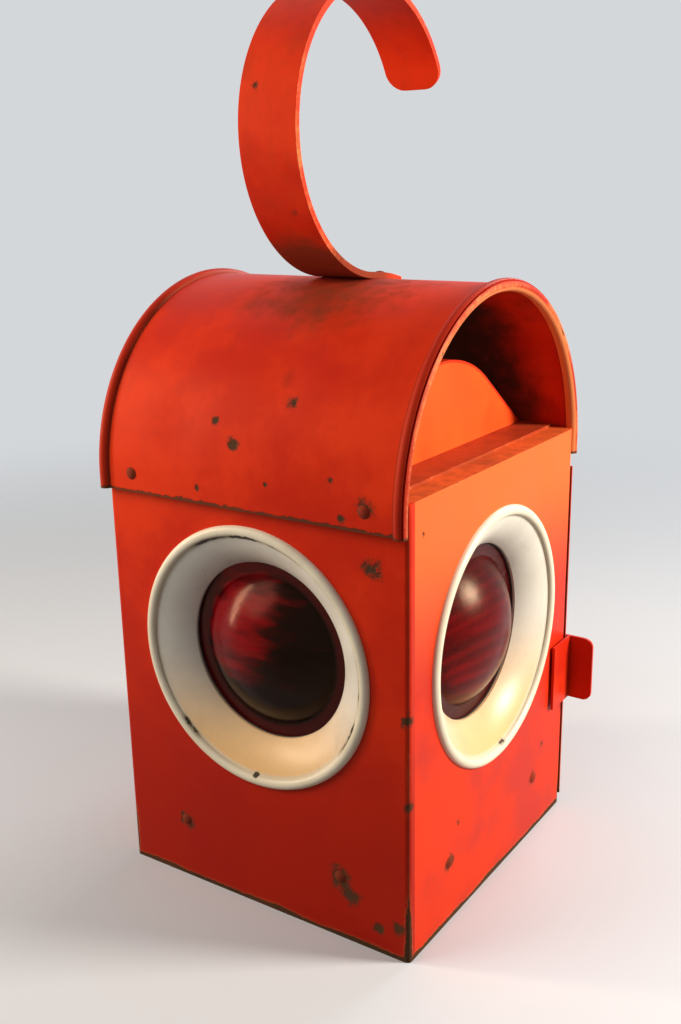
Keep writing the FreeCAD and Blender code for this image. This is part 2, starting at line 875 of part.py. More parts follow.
def burner_body():
    """The burner's screw plug and flange, its flat wick tube and the lugs for the spindle."""
    plug_foot = fount_top - plug_depth
    tube_top = dome_top - tube_top_gap
    plug = rod(fount_mouth_radius - plug_fit, Vector(0, 0, plug_foot), Vector(0, 0, collar_top))
    rim = fount_mouth_radius + collar_wall + burner_lip
    flange = rod(rim, Vector(0, 0, collar_top), Vector(0, 0, gallery_bottom))
    tube = wick_slot(tube_outer_x, tube_outer_y, plug_foot, tube_top)
    lug_y = wheel_spacing / 2 + wheel_thickness / 2 + 2 * wheel_gap
    lug_end = spindle_x + spindle_radius + lug_wall
    lug_low = spindle_z - spindle_radius - lug_wall
    lug_high = spindle_z + spindle_radius + lug_wall
    lugs = [box((0, lug_end), sorted((side * lug_y, side * (lug_y + lug_thickness))), (lug_low, lug_high))
            for side in (-1, 1)]
    whole = joined([plug, flange, tube] + lugs)
    bore = wick_slot(wick_thickness / 2 + wick_fit, wick_width / 2 + wick_fit, plug_foot, tube_top)
    room = wheel_radius + wheel_gap
    window = box((0, spindle_x), (-lug_y, lug_y), (spindle_z - room, spindle_z + room))
    reach = gallery_radius
    shaft = rod(spindle_radius + spindle_fit, Vector(spindle_x, -reach, spindle_z),
                Vector(spindle_x, reach, spindle_z))
    return whole.cut([bore, window, shaft])


def burner_gallery():
    """The pierced ring that lets air to the flame."""
    low = Vector(0, 0, gallery_bottom)
    high = Vector(0, 0, gallery_top)
    ring = rod(gallery_radius, low, high).cut(rod(gallery_radius - gallery_wall, low, high))
    centre = Vector(0, 0, gallery_bottom + gallery_hole_height)
    holes = []
    for index in range(gallery_holes):
        turn = 2 * math.pi * (index + 0.5) / gallery_holes
        way = Vector(math.cos(turn), math.sin(turn), 0)
        holes.append(rod(gallery_hole_radius, centre, centre + way * 2 * gallery_radius))
    shaft = rod(spindle_radius + spindle_fit, Vector(spindle_x, 0, spindle_z),
                Vector(spindle_x, 2 * gallery_radius, spindle_z))
    return ring.cut(holes + [shaft])


def dome_profile(wall):
    """The flame dome's outline, set in by a wall."""
    base = turned(gallery_radius - wall, gallery_top)
    rim = turned(dome_top_radius - wall / 2, dome_top - wall)
    swell = (gallery_radius - dome_top_radius) / 4
    through = (base + rim) * 0.5 + Vector(swell, 0, swell / 2)
    return outline(turned(0, gallery_top), base, (through, rim), turned(0, dome_top - wall))


def burner_dome():
    """The dome over the wick, slotted for the flame."""
    shell = lathe(dome_profile(0)).cut(lathe(dome_profile(gallery_wall)))
    slot_foot = dome_top - dome_height / 2
    return shell.cut(wick_slot(dome_slot_width / 2, dome_slot_length / 2, slot_foot, dome_top))


def wick():
    """The flat wick, from just above the fount's floor to the top of its tube."""
    low = fount_bottom + fount_wall + wick_floor_gap
    return wick_slot(wick_thickness / 2, wick_width / 2, low, wick_top)


def wick_spindle():
    """The shaft that carries the wheels and the knob."""
    lug_y = wheel_spacing / 2 + wheel_thickness / 2 + 2 * wheel_gap
    start = Vector(spindle_x, -lug_y - lug_thickness - spindle_end, spindle_z)
    return rod(spindle_radius, start, Vector(spindle_x, knob_reach, spindle_z))


def star(radius, depth, points):
    """A star-shaped outline about the spindle, in the side view."""
    corners = []
    for index in range(2 * points):
        turn = math.pi * index / points
        reach = radius - depth * (index % 2)
        corners.append(Vector(spindle_x + reach * math.cos(turn), 0, spindle_z + reach * math.sin(turn)))
    return outline(*corners)


def wick_wheels():
    """Two toothed wheels that drive the wick."""
    start = Vector(spindle_x, -knob_reach, spindle_z)
    shaft = rod(spindle_radius, start, Vector(spindle_x, knob_reach, spindle_z))
    wheels = []
    for side in (-1, 1):
        wheel = star(wheel_radius, wheel_tooth, wheel_teeth).extrude(Vector(0, wheel_thickness, 0))
        wheel.translate(Vector(0, side * wheel_spacing / 2 - wheel_thickness / 2, 0))
        wheels.append(wheel.cut(shaft))
    return Part.makeCompound(wheels)


def wick_knob():
    """The scalloped knob at the rear end of the spindle."""
    start = Vector(spindle_x, knob_reach - knob_thickness, spindle_z)
    end = Vector(spindle_x, knob_reach, spindle_z)
    knob = rod(knob_radius, start, end).cut(rod(spindle_radius, start, end))
    scallops = []
    for index in range(knob_scallops):
        turn = 2 * math.pi * index / knob_scallops
        edge = Vector(knob_radius * math.cos(turn), 0, knob_radius * math.sin(turn))
        scallops.append(rod(knob_scallop, start + edge, end + edge))
    return knob.cut(scallops)


def house_nodes():
    """The house, its floor and the rivets that hold it."""
    return {
        "front_panel": front_panel(),
        "left_panel": side_panel("left"),
        "right_panel": side_panel("right"),
        "rear_head": rear_head(),
        "rear_sill": rear_sill(),
        "floor_pan": floor_pan(),
        "floor_rivets": rivet_group(all_pan_rivet_places(), 2 * sheet),
        "fount_seat": fount_seat(),
        "top_deck": top_deck(),
    }


def roof_nodes():
    """The inner roof, the hood and the hook."""
    hood_places = hood_rivet_places(-1) + hood_rivet_places(1)
    hood_grip = hood_outer - inner_depth
    tail_sag = rivet_tail ** 2 / (hood_inner - backing_thickness)
    hook_grip = strap_thickness + sheet + backing_thickness + tail_sag
    return {
        "inner_roof": inner_roof(),
        "roof_end_right": roof_end(),
        "roof_end_left": mirrored(roof_end()),
        "hood": hood(),
        "hood_spacers": hood_spacers(),
        "hood_rivets": rivet_group(hood_places, hood_grip),
        "hook": hook(),
        "hook_backing": hook_backing(),
        "hook_rivets": rivet_group(hook_rivet_places(), hook_grip),
    }


def lens_nodes():
    """The four pieces of each lens set, on three sides."""
    pieces = {"dish": lens_dish(), "seal": lens_seal(), "lens": lens(), "retainer": lens_retainer()}
    return {f"{name}_{side}": aimed(shape, face, way)
            for side, (face, way) in LENS_SIDES.items() for name, shape in pieces.items()}


def door_nodes():
    """The door, its hinges and its latch."""
    nodes = {
        "rear_door": rear_door(),
        "door_baffle": door_baffle(),
        "hinge_rivets_body": rivet_group(body_leaf_rivet_places(), leaf_thickness + sheet),
        "hinge_rivets_door": rivet_group(door_leaf_rivet_places(), leaf_thickness + sheet),
        "latch_base": latch_base(),
        "latch_finger": latch_finger(),
        "latch_rivets": rivet_group(latch_rivet_places(), latch_strip + sheet),
    }
    for name, height in zip(("lower", "upper"), hinge_heights):
        nodes[f"body_leaf_{name}"] = body_leaf(height)
        nodes[f"door_leaf_{name}"] = door_leaf(height)
        nodes[f"hinge_pin_{name}"] = hinge_pin(height)
    return nodes


def fount_nodes():
    """The fount, the burner and the wick with its drive."""
    return {
        "fount": fount(),
        "burner_collar": burner_collar(),
        "filler_neck": filler_neck(),
        "filler_cap": filler_cap(),
        "burner_body": burner_body(),
        "burner_gallery": burner_gallery(),
        "burner_dome": burner_dome(),
        "wick": wick(),
        "wick_spindle": wick_spindle(),
        "wick_wheels": wick_wheels(),
        "wick_knob": wick_knob(),
    }


def main():
    """Build every piece and write one file for each."""
    os.makedirs("parts", exist_ok=True)
    for nodes in (house_nodes(), roof_nodes(), lens_nodes(), door_nodes(), fount_nodes()):
        for name, shape in nodes.items():
            shape.exportStep(f"parts/{name}.step")


main()
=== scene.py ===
"""A paraffin road danger lamp: worn orange paint, chipped enamel, ruby glass, brass and tinplate."""
import json
import logging
import math
from dataclasses import dataclass, field, replace
from enum import Enum
from typing import Callable, Optional, Sequence, Union

import bmesh
import bpy
from mathutils import Matrix, Vector


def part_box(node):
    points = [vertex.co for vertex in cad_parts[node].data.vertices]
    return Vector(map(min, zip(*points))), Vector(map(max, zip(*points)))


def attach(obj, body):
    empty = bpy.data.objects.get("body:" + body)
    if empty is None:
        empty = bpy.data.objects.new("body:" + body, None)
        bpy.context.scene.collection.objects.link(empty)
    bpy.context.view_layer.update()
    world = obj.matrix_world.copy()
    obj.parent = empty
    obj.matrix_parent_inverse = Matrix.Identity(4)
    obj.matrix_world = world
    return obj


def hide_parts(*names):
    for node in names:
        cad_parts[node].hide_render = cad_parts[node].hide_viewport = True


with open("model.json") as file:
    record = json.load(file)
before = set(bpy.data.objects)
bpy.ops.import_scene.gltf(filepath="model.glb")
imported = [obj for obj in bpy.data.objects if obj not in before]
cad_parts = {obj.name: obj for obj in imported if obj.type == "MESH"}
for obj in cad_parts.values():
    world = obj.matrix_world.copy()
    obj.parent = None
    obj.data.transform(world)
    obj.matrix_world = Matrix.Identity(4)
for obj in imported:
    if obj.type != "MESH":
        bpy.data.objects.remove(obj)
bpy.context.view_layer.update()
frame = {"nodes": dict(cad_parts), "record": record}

LOG = logging.getLogger("road_lamp")
MM = 0.001
CLOSE = 1e-6  # metres within which two places are one
FAR = 1.0  # metres past every edge of the lamp
Socket = bpy.types.NodeSocket
Signal = Union[Socket, float, tuple]


class Slot(Enum):
    """The material slots of the record."""

    PAINT = "orange_paint"
    ENAMEL = "white_enamel"
    GLASS = "ruby_glass"
    RUBBER = "seal_rubber"
    STEEL = "spring_steel"
    TIN = "tinplate"
    BRASS = "burner_brass"
    COTTON = "wick_cotton"


class Soot(Enum):
    """Where the lamp's smoke has blackened a painted piece."""

    NONE = "none"
    HOUSE = "inside of the house"
    HOOD = "inside of the hood"
    DOOR = "inside of the door"
    ROOF = "top of the inner roof"


class Side(Enum):
    """The three sides that carry a lens, each with its turn from the front."""

    FRONT = "front"
    LEFT = "left"
    RIGHT = "right"

    @property
    def turn(self) -> float:
        """The turn about the upright axis that carries the front set to this side."""
        return {Side.FRONT: 0.0, Side.LEFT: -math.pi / 2, Side.RIGHT: math.pi / 2}[self]

    @property
    def across(self) -> Vector:
        """One along each axis that lies in the plane of this side's lens."""
        return Vector((1, 0, 1)) if self is Side.FRONT else Vector((0, 1, 1))

    @property
    def rightward(self) -> Vector:
        """The level way to the right in the plane of this side's lens, seen from outside."""
        return Matrix.Rotation(self.turn, 3, "Z") @ Vector((1, 0, 0))

    def point(self, right: float, height: float) -> tuple:
        """The point so far to the right and so high in the plane of this side's lens."""
        return tuple(self.rightward * right + Vector((0, 0, height)))


def corners(node: str) -> tuple[Vector, Vector]:
    """Read a node's box.

    Args:
        node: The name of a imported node.

    Returns:
        Its lowest and highest corners, in metres.
    """
    low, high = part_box(node)
    return Vector(low), Vector(high)


class Graph:
    """A node tree with short calls for the nodes that the finishes use."""

    def __init__(self, tree: bpy.types.NodeTree) -> None:
        """Hold a node tree."""
        self.tree = tree

    def feed(self, socket: Socket, signal: Signal) -> None:
        """Link a socket to another, or set its own value.

        Args:
            socket: The input to feed.
            signal: The output that feeds it, or its value.
        """
        if isinstance(signal, bpy.types.NodeSocket):
            self.tree.links.new(signal, socket)
        else:
            socket.default_value = signal

    def node(self, kind: str, inputs: dict, **settings: object) -> bpy.types.Node:
        """Add a node.

        Args:
            kind: The node's type name without its ShaderNode prefix.
            inputs: What feeds each input, by its name or index.
            settings: Properties of the node.

        Returns:
            The new node.
        """
        made = self.tree.nodes.new("ShaderNode" + kind)
        for name, value in settings.items():
            setattr(made, name, value)
        for name, signal in inputs.items():
            self.feed(made.inputs[name], signal)
        return made

    def math(self, operation: str, first: Signal, second: Signal = 0.0) -> Socket:
        """One arithmetic step on two values."""
        return self.node("Math", {0: first, 1: second}, operation=operation).outputs[0]

    def times(self, first: Signal, second: Signal) -> Socket:
        """The product of two values."""
        return self.math("MULTIPLY", first, second)

    def plus(self, first: Signal, second: Signal) -> Socket:
        """The sum of two values."""
        return self.math("ADD", first, second)

    def minus(self, first: Signal, second: Signal) -> Socket:
        """The first value less the second."""
        return self.math("SUBTRACT", first, second)

    def most(self, first: Signal, second: Signal) -> Socket:
        """The greater of two values."""
        return self.math("MAXIMUM", first, second)

    def least(self, first: Signal, second: Signal) -> Socket:
        """The lesser of two values."""
        return self.math("MINIMUM", first, second)

    def weighed(self, first: Signal, share: float, second: Signal, other: float) -> Socket:
        """The sum of two values, each times its own weight."""
        return self.plus(self.times(first, share), self.times(second, other))

    def vector(self, operation: str, first: Signal, second: Signal = (0, 0, 0)) -> bpy.types.Node:
        """One arithmetic step on two vectors."""
        return self.node("VectorMath", {0: first, 1: second}, operation=operation)

    def distance(self, first: Signal, second: Signal) -> Socket:
        """How far two points lie apart."""
        return self.vector("DISTANCE", first, second).outputs["Value"]

    def axes(self, place: Signal) -> tuple[Socket, Socket, Socket]:
        """The three coordinates of a point."""
        parts = self.node("SeparateXYZ", {0: place}).outputs
        return parts[0], parts[1], parts[2]

    def rise(self, value: Signal, start: Signal, end: Signal, low: Signal = 0.0,
             high: Signal = 1.0) -> Socket:
        """A smooth step.

        Args:
            value: What drives the step.
            start: Where the step leaves its low value.
            end: Where the step reaches its high value.
            low: The value before the step.
            high: The value after the step.

        Returns:
            The stepped value.
        """
        inputs = {"Value": value, "From Min": start, "From Max": end, "To Min": low, "To Max": high}
        return self.node("MapRange", inputs, interpolation_type="SMOOTHSTEP").outputs["Result"]

    def blend(self, share: Signal, first: Signal, second: Signal) -> Socket:
        """Mix two colours."""
        return self.node("Mix", {0: share, 6: first, 7: second}, data_type="RGBA").outputs[2]

    def noise(self, place: Signal, scale: Signal, detail: float = 4.0, roughness: float = 0.55) -> Socket:
        """Cloudy noise between 0 and 1, with a scale in repeats per metre."""
        inputs = {"Vector": place, "Scale": scale, "Detail": detail, "Roughness": roughness}
        return self.node("TexNoise", inputs).outputs["Fac"]

    def stretched(self, place: Signal, stretch: tuple) -> Socket:
        """A point scaled apart along the axes."""
        return self.vector("MULTIPLY", place, stretch).outputs[0]


class Effect(Graph):
    """A shared surface effect, built once as a node group."""

    FLOAT = "NodeSocketFloat"
    VECTOR = "NodeSocketVector"

    def __init__(self, name: str, vectors: Sequence[str], values: Sequence[str],
                 outputs: Sequence[str]) -> None:
        """Open an empty group.

        Args:
            name: The group's name.
            vectors: The names of its vector inputs.
            values: The names of its value inputs.
            outputs: The names of its value outputs.
        """
        super().__init__(bpy.data.node_groups.new(name, "ShaderNodeTree"))
        inputs = (("INPUT", self.VECTOR, vectors), ("INPUT", self.FLOAT, values))
        for way, kind, names in (*inputs, ("OUTPUT", self.FLOAT, outputs)):
            for socket in names:
                self.tree.interface.new_socket(socket, in_out=way, socket_type=kind)
        self.given = self.tree.nodes.new("NodeGroupInput").outputs
        self.result = self.tree.nodes.new("NodeGroupOutput").inputs

    def send(self, name: str, signal: Socket) -> None:
        """Put a signal out of the group."""
        self.feed(self.result[name], signal)


def mottle_effect() -> bpy.types.NodeTree:
    """Uneven colour at two scales, as old brushed paint shows.

    Returns:
        The node group.
    """
    effect = Effect("mottle", ["Place"], ["Scale"], ["Value"])
    place, scale = effect.given["Place"], effect.given["Scale"]
    broad = effect.noise(place, scale, 3.0, 0.5)
    fine = effect.noise(place, effect.times(scale, 4.3), 5.0, 0.6)
    effect.send("Value", effect.rise(effect.weighed(broad, 0.65, fine, 0.35), 0.36, 0.64))
    return effect.tree


def ragged_effect() -> bpy.types.NodeTree:
    """A crumbled offset about zero that breaks up the outlines of chips.

    Returns:
        The node group.
    """
    effect = Effect("ragged", ["Place"], [], ["Value"])
    place = effect.given["Place"]
    coarse = effect.minus(effect.noise(place, 260.0, 3.0, 0.6), 0.5)
    fine = effect.minus(effect.noise(place, 900.0, 4.0, 0.7), 0.5)
    effect.send("Value", effect.weighed(coarse, 2.6, fine, 1.6))
    return effect.tree


def spot_effect() -> bpy.types.NodeTree:
    """One ragged chip about a place, with the rim of primer round it.

    Returns:
        The node group.
    """
    effect = Effect("spot", ["Place", "Centre"], ["Radius", "Ragged"], ["Bare", "Rim"])
    away = effect.distance(effect.given["Place"], effect.given["Centre"])
    share = effect.plus(effect.math("DIVIDE", away, effect.given["Radius"]), effect.given["Ragged"])
    effect.send("Bare", effect.rise(share, 0.40, 0.85, 1.0, 0.0))
    effect.send("Rim", effect.rise(share, 0.70, 1.35, 1.0, 0.0))
    return effect.tree


def edge_effect() -> bpy.types.NodeTree:
    """The distance from a point on a box-shaped piece to its nearest edge.

    Returns:
        The node group.
    """
    effect = Effect("box_edge", ["Place", "Low", "High"], [], ["Distance"])
    place = effect.given["Place"]
    above = effect.vector("SUBTRACT", place, effect.given["Low"]).outputs[0]
    below = effect.vector("SUBTRACT", effect.given["High"], place).outputs[0]
    depth = effect.vector("MINIMUM", above, below).outputs[0]
    x, y, z = effect.axes(depth)
    lesser = effect.least(x, y)
    greater = effect.most(x, y)
    effect.send("Distance", effect.most(lesser, effect.least(greater, z)))
    return effect.tree


def wear_effect() -> bpy.types.NodeTree:
    """Rubbed and bare stretches along an edge, broken up by noise.

    Returns:
        The node group.
    """
    effect = Effect("edge_wear", ["Place"], ["Distance", "Reach", "Amount"], ["Bare", "Rubbed"])
    place, distance = effect.given["Place"], effect.given["Distance"]
    near = effect.math("DIVIDE", distance, effect.given["Reach"])
    long_patch = effect.noise(place, 26.0, 3.0, 0.6)
    crumb = effect.noise(place, 420.0, 4.0, 0.7)
    broken = effect.weighed(long_patch, 1.5, crumb, 0.7)
    level = effect.minus(effect.plus(broken, effect.given["Amount"]), near)
    effect.send("Bare", effect.rise(level, 1.12, 1.26))
    effect.send("Rubbed", effect.rise(level, 0.75, 1.25))
    return effect.tree


def scatter_effect() -> bpy.types.NodeTree:
    """Small chips thrown at random over a surface.

    Returns:
        The node group.
    """
    effect = Effect("scattered_chips", ["Place"], ["Scale", "Share"], ["Bare"])
    place = effect.given["Place"]
    wobble = effect.node("TexNoise", {"Vector": place, "Scale": 260.0, "Detail": 3.0}).outputs["Color"]
    shift = effect.vector("SCALE", effect.vector("SUBTRACT", wobble, (0.5, 0.5, 0.5)).outputs[0])
    shift.inputs["Scale"].default_value = 0.006
    moved = effect.vector("ADD", place, shift.outputs[0]).outputs[0]
    cells = effect.node("TexVoronoi", {"Vector": moved, "Scale": effect.given["Scale"]})
    luck = effect.axes(cells.outputs["Color"])[0]
    size = effect.rise(luck, effect.minus(1.0, effect.given["Share"]), 1.0, 0.0, 0.11)
    inner = effect.times(size, 0.4)
    effect.send("Bare", effect.rise(cells.outputs["Distance"], inner, size, 1.0, 0.0))
    return effect.tree


def grime_effect() -> bpy.types.NodeTree:
    """Patches and runs of dirt.

    Returns:
        The node group.
    """
    effect = Effect("grime", ["Place"], ["Scale", "Amount"], ["Dirt"])
    place, scale = effect.given["Place"], effect.given["Scale"]
    patch = effect.noise(place, scale, 6.0, 0.65)
    runs = effect.noise(effect.stretched(place, (9.0, 9.0, 1.0)), scale, 3.0, 0.5)
    mixed = effect.plus(effect.weighed(patch, 0.6, runs, 0.4), effect.given["Amount"])
    effect.send("Dirt", effect.rise(mixed, 0.62, 1.1))
    return effect.tree


def texture_effect() -> bpy.types.NodeTree:
    """The height of brush marks, dust nibs and shallow dents in painted sheet.

    Returns:
        The node group.
    """
    effect = Effect("sheet_texture", ["Place"], ["Fine", "Dent"], ["Height"])
    place = effect.given["Place"]
    peel = effect.times(effect.noise(place, 900.0, 2.0, 0.5), effect.given["Fine"])
    brush = effect.noise(effect.stretched(place, (1.0, 1.0, 0.12)), 700.0, 2.0, 0.5)
    dents = effect.times(effect.noise(place, 22.0, 2.0, 0.5), effect.given["Dent"])
    marks = effect.times(brush, effect.times(effect.given["Fine"], 0.8))
    effect.send("Height", effect.plus(effect.plus(peel, marks), dents))
    return effect.tree


class Effects:
    """Every shared effect, made once."""

    def __init__(self) -> None:
        """Build the node groups."""
        self.mottle = mottle_effect()
        self.ragged = ragged_effect()
        self.spot = spot_effect()
        self.edge = edge_effect()
        self.wear = wear_effect()
        self.scatter = scatter_effect()
        self.grime = grime_effect()
        self.texture = texture_effect()


class Surface(Graph):
    """A new material's graph, with its shader and the point on the surface in the lamp's own frame."""

    def __init__(self, name: str) -> None:
        """Open the material.

        Args:
            name: The material's name.
        """
        self.material = bpy.data.materials.new(name)
        self.material.use_nodes = True
        super().__init__(self.material.node_tree)
        self.shader = self.tree.nodes["Principled BSDF"]
        self.place = self.node("TexCoord", {}).outputs["Object"]

    @property
    def height(self) -> Socket:
        """How high the point on the surface lies."""
        return self.axes(self.place)[2]

    def give(self, name: str, signal: Signal) -> None:
        """Feed one of the shader's inputs."""
        self.feed(self.shader.inputs[name], signal)

    def bump(self, height: Signal, distance: float) -> None:
        """Bump the surface by a height signal over a distance in metres."""
        bump = self.node("Bump", {"Height": height, "Strength": 1.0, "Distance": distance})
        self.give("Normal", bump.outputs["Normal"])

    def effect(self, tree: bpy.types.NodeTree, inputs: dict) -> dict:
        """Place a shared effect at the point on the surface, and return its outputs by name."""
        made = self.node("Group", {"Place": self.place, **inputs}, node_tree=tree)
        return {socket.name: socket for socket in made.outputs}


@dataclass(frozen=True)
class Chip:
    """A place where the paint is knocked off, in millimetres in the lamp's frame."""

    x: float
    y: float
    z: float
    radius: float

    @property
    def centre(self) -> tuple:
        """The middle of the chip, in metres."""
        return self.x * MM, self.y * MM, self.z * MM


@dataclass(frozen=True)
class PaintWear:
    """How one painted piece has worn.

    The worn edges are those of the box from low to high. A box turned inside out along one axis
    leaves only the edges of the other two.

    Attributes:
        name: The piece's name.
        low: The box's lowest corner.
        high: The box's highest corner.
        bare: How far the edges are worn to the sheet.
        rubbed: How pale the rubbed edges are.
        reach: How wide the wear runs along an edge.
        dent: How uneven the sheet is.
        grime: How much dirt lies on the piece.
        soot: Where smoke has blackened it.
        hem: The height of the dark line along its bottom edge.
        foot: How much more the corners near its bottom edge are worn.
        barrel: The height of the barrel's axis and its inner radius.
        band: How far out along the barrel the rolled edge starts.
        shelf: The height above which dust lies on it.
        crown: The centre, the reach and the strength of a darker patch: dirt and painted shade.
        painted_highlight: The heights where the painted highlight starts and is full.
        deep: The heights where the painted shade starts and where it is darkest.
        chips: Where the paint is knocked off.
    """

    name: str
    low: Vector
    high: Vector
    bare: float = 0.0
    rubbed: float = 0.5
    reach: float = 3.0 * MM
    dent: float = 0.3
    grime: float = 0.0
    soot: Soot = Soot.NONE
    hem: float = 0.0
    foot: float = 0.0
    barrel: tuple = (0.0, 0.0)
    band: Optional[float] = None
    shelf: Optional[float] = None
    crown: Optional[tuple] = None
    painted_highlight: Optional[tuple] = None
    deep: Optional[tuple] = None
    chips: tuple = ()


@dataclass(frozen=True)
class OrangePaint:
    """Gloss vermilion over red primer and brown sheet.

    Attributes:
        effects: The shared effects.
        orange: The paint's colour where it is bright.
        red: The paint's colour where it is deep.
        painted_shade_red: The darker red painted low on a piece as shade.
        rolled: The darker red painted on the rolled edges as shade.
        painted_highlight: The paler colour painted on as a highlight.
        rubbed: The paint worn thin along an edge.
        primer: The rim of primer round a chip.
        bare: The darkest of the bare sheet.
        rust: The rust on the bare sheet.
        dirt: The dirt's colour.
        soot: The soot's colour.
        gloss: The roughness of clean paint.
        sheen: How strongly the paint reflects.
        glint: The tint of its reflections.
        shell: How thick the paint and its marks are.
        fringe: How far the soot takes to end.
    """

    effects: Effects
    orange: tuple = (0.82, 0.044, 0.008, 1)
    red: tuple = (0.54, 0.015, 0.005, 1)
    painted_shade_red: tuple = (0.38, 0.009, 0.004, 1)
    rolled: tuple = (0.36, 0.020, 0.009, 1)
    painted_highlight: tuple = (0.92, 0.165, 0.034, 1)
    rubbed: tuple = (0.86, 0.27, 0.09, 1)
    primer: tuple = (0.17, 0.026, 0.013, 1)
    bare: tuple = (0.050, 0.031, 0.018, 1)
    rust: tuple = (0.100, 0.044, 0.021, 1)
    dirt: tuple = (0.15, 0.036, 0.016, 1)
    soot: tuple = (0.026, 0.014, 0.009, 1)
    gloss: float = 0.44
    sheen: float = 0.20
    glint: tuple = (1.0, 0.50, 0.25, 1)
    shell: float = 0.6 * MM
    fringe: float = 0.5 * MM

    def material(self, wear: PaintWear) -> bpy.types.Material:
        """Mix the paint for one piece.

        Args:
            wear: How that piece has worn.

        Returns:
            The material.
        """
        graph = Surface("paint_" + wear.name)
        tone = graph.effect(self.effects.mottle, {"Scale": 11.0})["Value"]
        colour = graph.blend(graph.rise(tone, 0.0, 1.0, 0.15, 0.85), self.red, self.orange)
        # painted light by height: a paler highlight towards the top, and a deeper red shade towards the
        # bottom
        for heights, tint in ((wear.painted_highlight, self.painted_highlight), (wear.deep, self.painted_shade_red)):
            if heights is not None:
                start, full = heights
                share = graph.rise(graph.height, start, full, 0.0, 0.85)
                colour = graph.blend(share, colour, tint)
        if wear.band is not None:
            colour = self.rolled_edge(graph, wear, colour)
        # dirt, and painted shade in a crown patch
        dirt = self.dirt_and_shade_share(graph, wear)
        colour = graph.blend(dirt, colour, self.dirt)
        bare, rim, rubbed = self.lost_paint(graph, wear)
        colour = graph.blend(graph.times(rubbed, wear.rubbed), colour, self.rubbed)
        colour = graph.blend(graph.times(rim, 0.75), colour, self.primer)
        colour = graph.blend(bare, colour, graph.blend(tone, self.bare, self.rust))
        soot = self.soot_share(graph, wear)
        colour = graph.blend(soot, colour, self.soot)
        graph.give("Base Color", colour)
        dull = graph.most(graph.most(dirt, bare), soot)
        uneven = graph.rise(tone, 0.0, 1.0, self.gloss - 0.04, self.gloss + 0.08)
        rough = graph.plus(uneven, graph.times(dull, 0.35))
        graph.give("Roughness", rough)
        graph.give("Specular IOR Level", self.sheen)
        graph.give("Specular Tint", self.glint)
        marks = graph.effect(self.effects.texture, {"Fine": 0.03, "Dent": wear.dent})["Height"]
        height = graph.minus(marks, graph.times(bare, 0.30))
        graph.bump(height, self.shell)
        return graph.material

    def rolled_edge(self, graph: Surface, wear: PaintWear, colour: Socket) -> Socket:
        """Paint shade on the rolled edge at each end of the barrel as a darker red, with a dark line along
        its foot and a pale inner side.

        Args:
            graph: The material's graph.
            wear: How the barrel has worn.
            colour: The paint's colour so far.

        Returns:
            The colour with both rolled edges.
        """
        out = graph.math("ABSOLUTE", graph.axes(graph.place)[0])
        roll = graph.rise(out, wear.band - 0.2 * MM, wear.band + 0.5 * MM)
        foot = graph.math("ABSOLUTE", graph.minus(out, wear.band))
        # painted shade: the rolled edges are darkened, and a dark line runs along their foot
        colour = graph.blend(graph.times(roll, 0.72), colour, self.rolled)
        colour = graph.blend(graph.rise(foot, 0.1 * MM, 0.9 * MM, 0.6, 0.0), colour, self.dirt)
        axis, radius = wear.barrel
        inner = graph.rise(self.barrel_radius(graph, axis), radius - 0.9 * MM, radius, 0.9, 0.0)
        return graph.blend(graph.times(inner, roll), colour, self.rubbed)

    def barrel_radius(self, graph: Surface, axis: float) -> Socket:
        """How far a point lies from the barrel's axis, or below the axis from its middle plane.

        Args:
            graph: The material's graph.
            axis: The height of the barrel's axis.

        Returns:
            The distance.
        """
        _, y, z = graph.axes(graph.place)
        lift = graph.most(graph.minus(z, axis), 0.0)
        square = graph.plus(graph.times(y, y), graph.times(lift, lift))
        return graph.math("SQRT", square)

    def dirt_and_shade_share(self, graph: Surface, wear: PaintWear) -> Socket:
        """How much dirt lies on the paint: more on a shelf and about the crown if the piece has them; the
        crown patch also paints shade.

        Args:
            graph: The material's graph.
            wear: How the piece has worn.

        Returns:
            The share of dirt, with painted shade in a crown patch.
        """
        amount: Signal = wear.grime
        if wear.crown is not None:
            centre, radius, extra = wear.crown
            away = graph.distance(graph.place, centre)
            amount = graph.plus(graph.rise(away, 0.0, radius, extra, 0.0), amount)
        if wear.shelf is not None:
            dust = graph.rise(graph.height, wear.shelf - 0.2 * MM, wear.shelf, 0.0, 0.30)
            amount = graph.plus(dust, amount)
        dirt = graph.effect(self.effects.grime, {"Scale": 20.0, "Amount": amount})["Dirt"]
        return graph.times(dirt, 0.8)

    def lost_paint(self, graph: Surface, wear: PaintWear) -> tuple[Socket, Socket, Socket]:
        """Masks of lost paint.

        Args:
            graph: The material's graph.
            wear: How the piece has worn.

        Returns:
            The bare sheet, the primer rim round it and the rubbed edges.
        """
        above = graph.minus(graph.height, wear.low.z)
        amount = graph.plus(graph.rise(above, 5 * MM, 50 * MM, wear.foot, 0.0), wear.bare)
        box = {"Low": wear.low, "High": wear.high}
        distance = graph.effect(self.effects.edge, box)["Distance"]
        ends = {"Distance": distance, "Reach": wear.reach, "Amount": amount}
        edge = graph.effect(self.effects.wear, ends)
        scattered = graph.effect(self.effects.scatter, {"Scale": 42.0, "Share": 0.06})["Bare"]
        bare = graph.most(edge["Bare"], graph.times(scattered, 0.8))
        rim: Signal = scattered
        ragged = graph.effect(self.effects.ragged, {})["Value"]
        if wear.hem:
            lift = graph.plus(graph.math("DIVIDE", above, wear.hem), ragged)
            bare = graph.most(bare, graph.rise(lift, 0.6, 1.1, 0.9, 0.0))
        for chip in wear.chips:
            near = {"Centre": chip.centre, "Radius": chip.radius * MM, "Ragged": ragged}
            spot = graph.effect(self.effects.spot, near)
            bare = graph.most(bare, spot["Bare"])
            rim = graph.most(rim, spot["Rim"])
        return bare, rim, edge["Rubbed"]

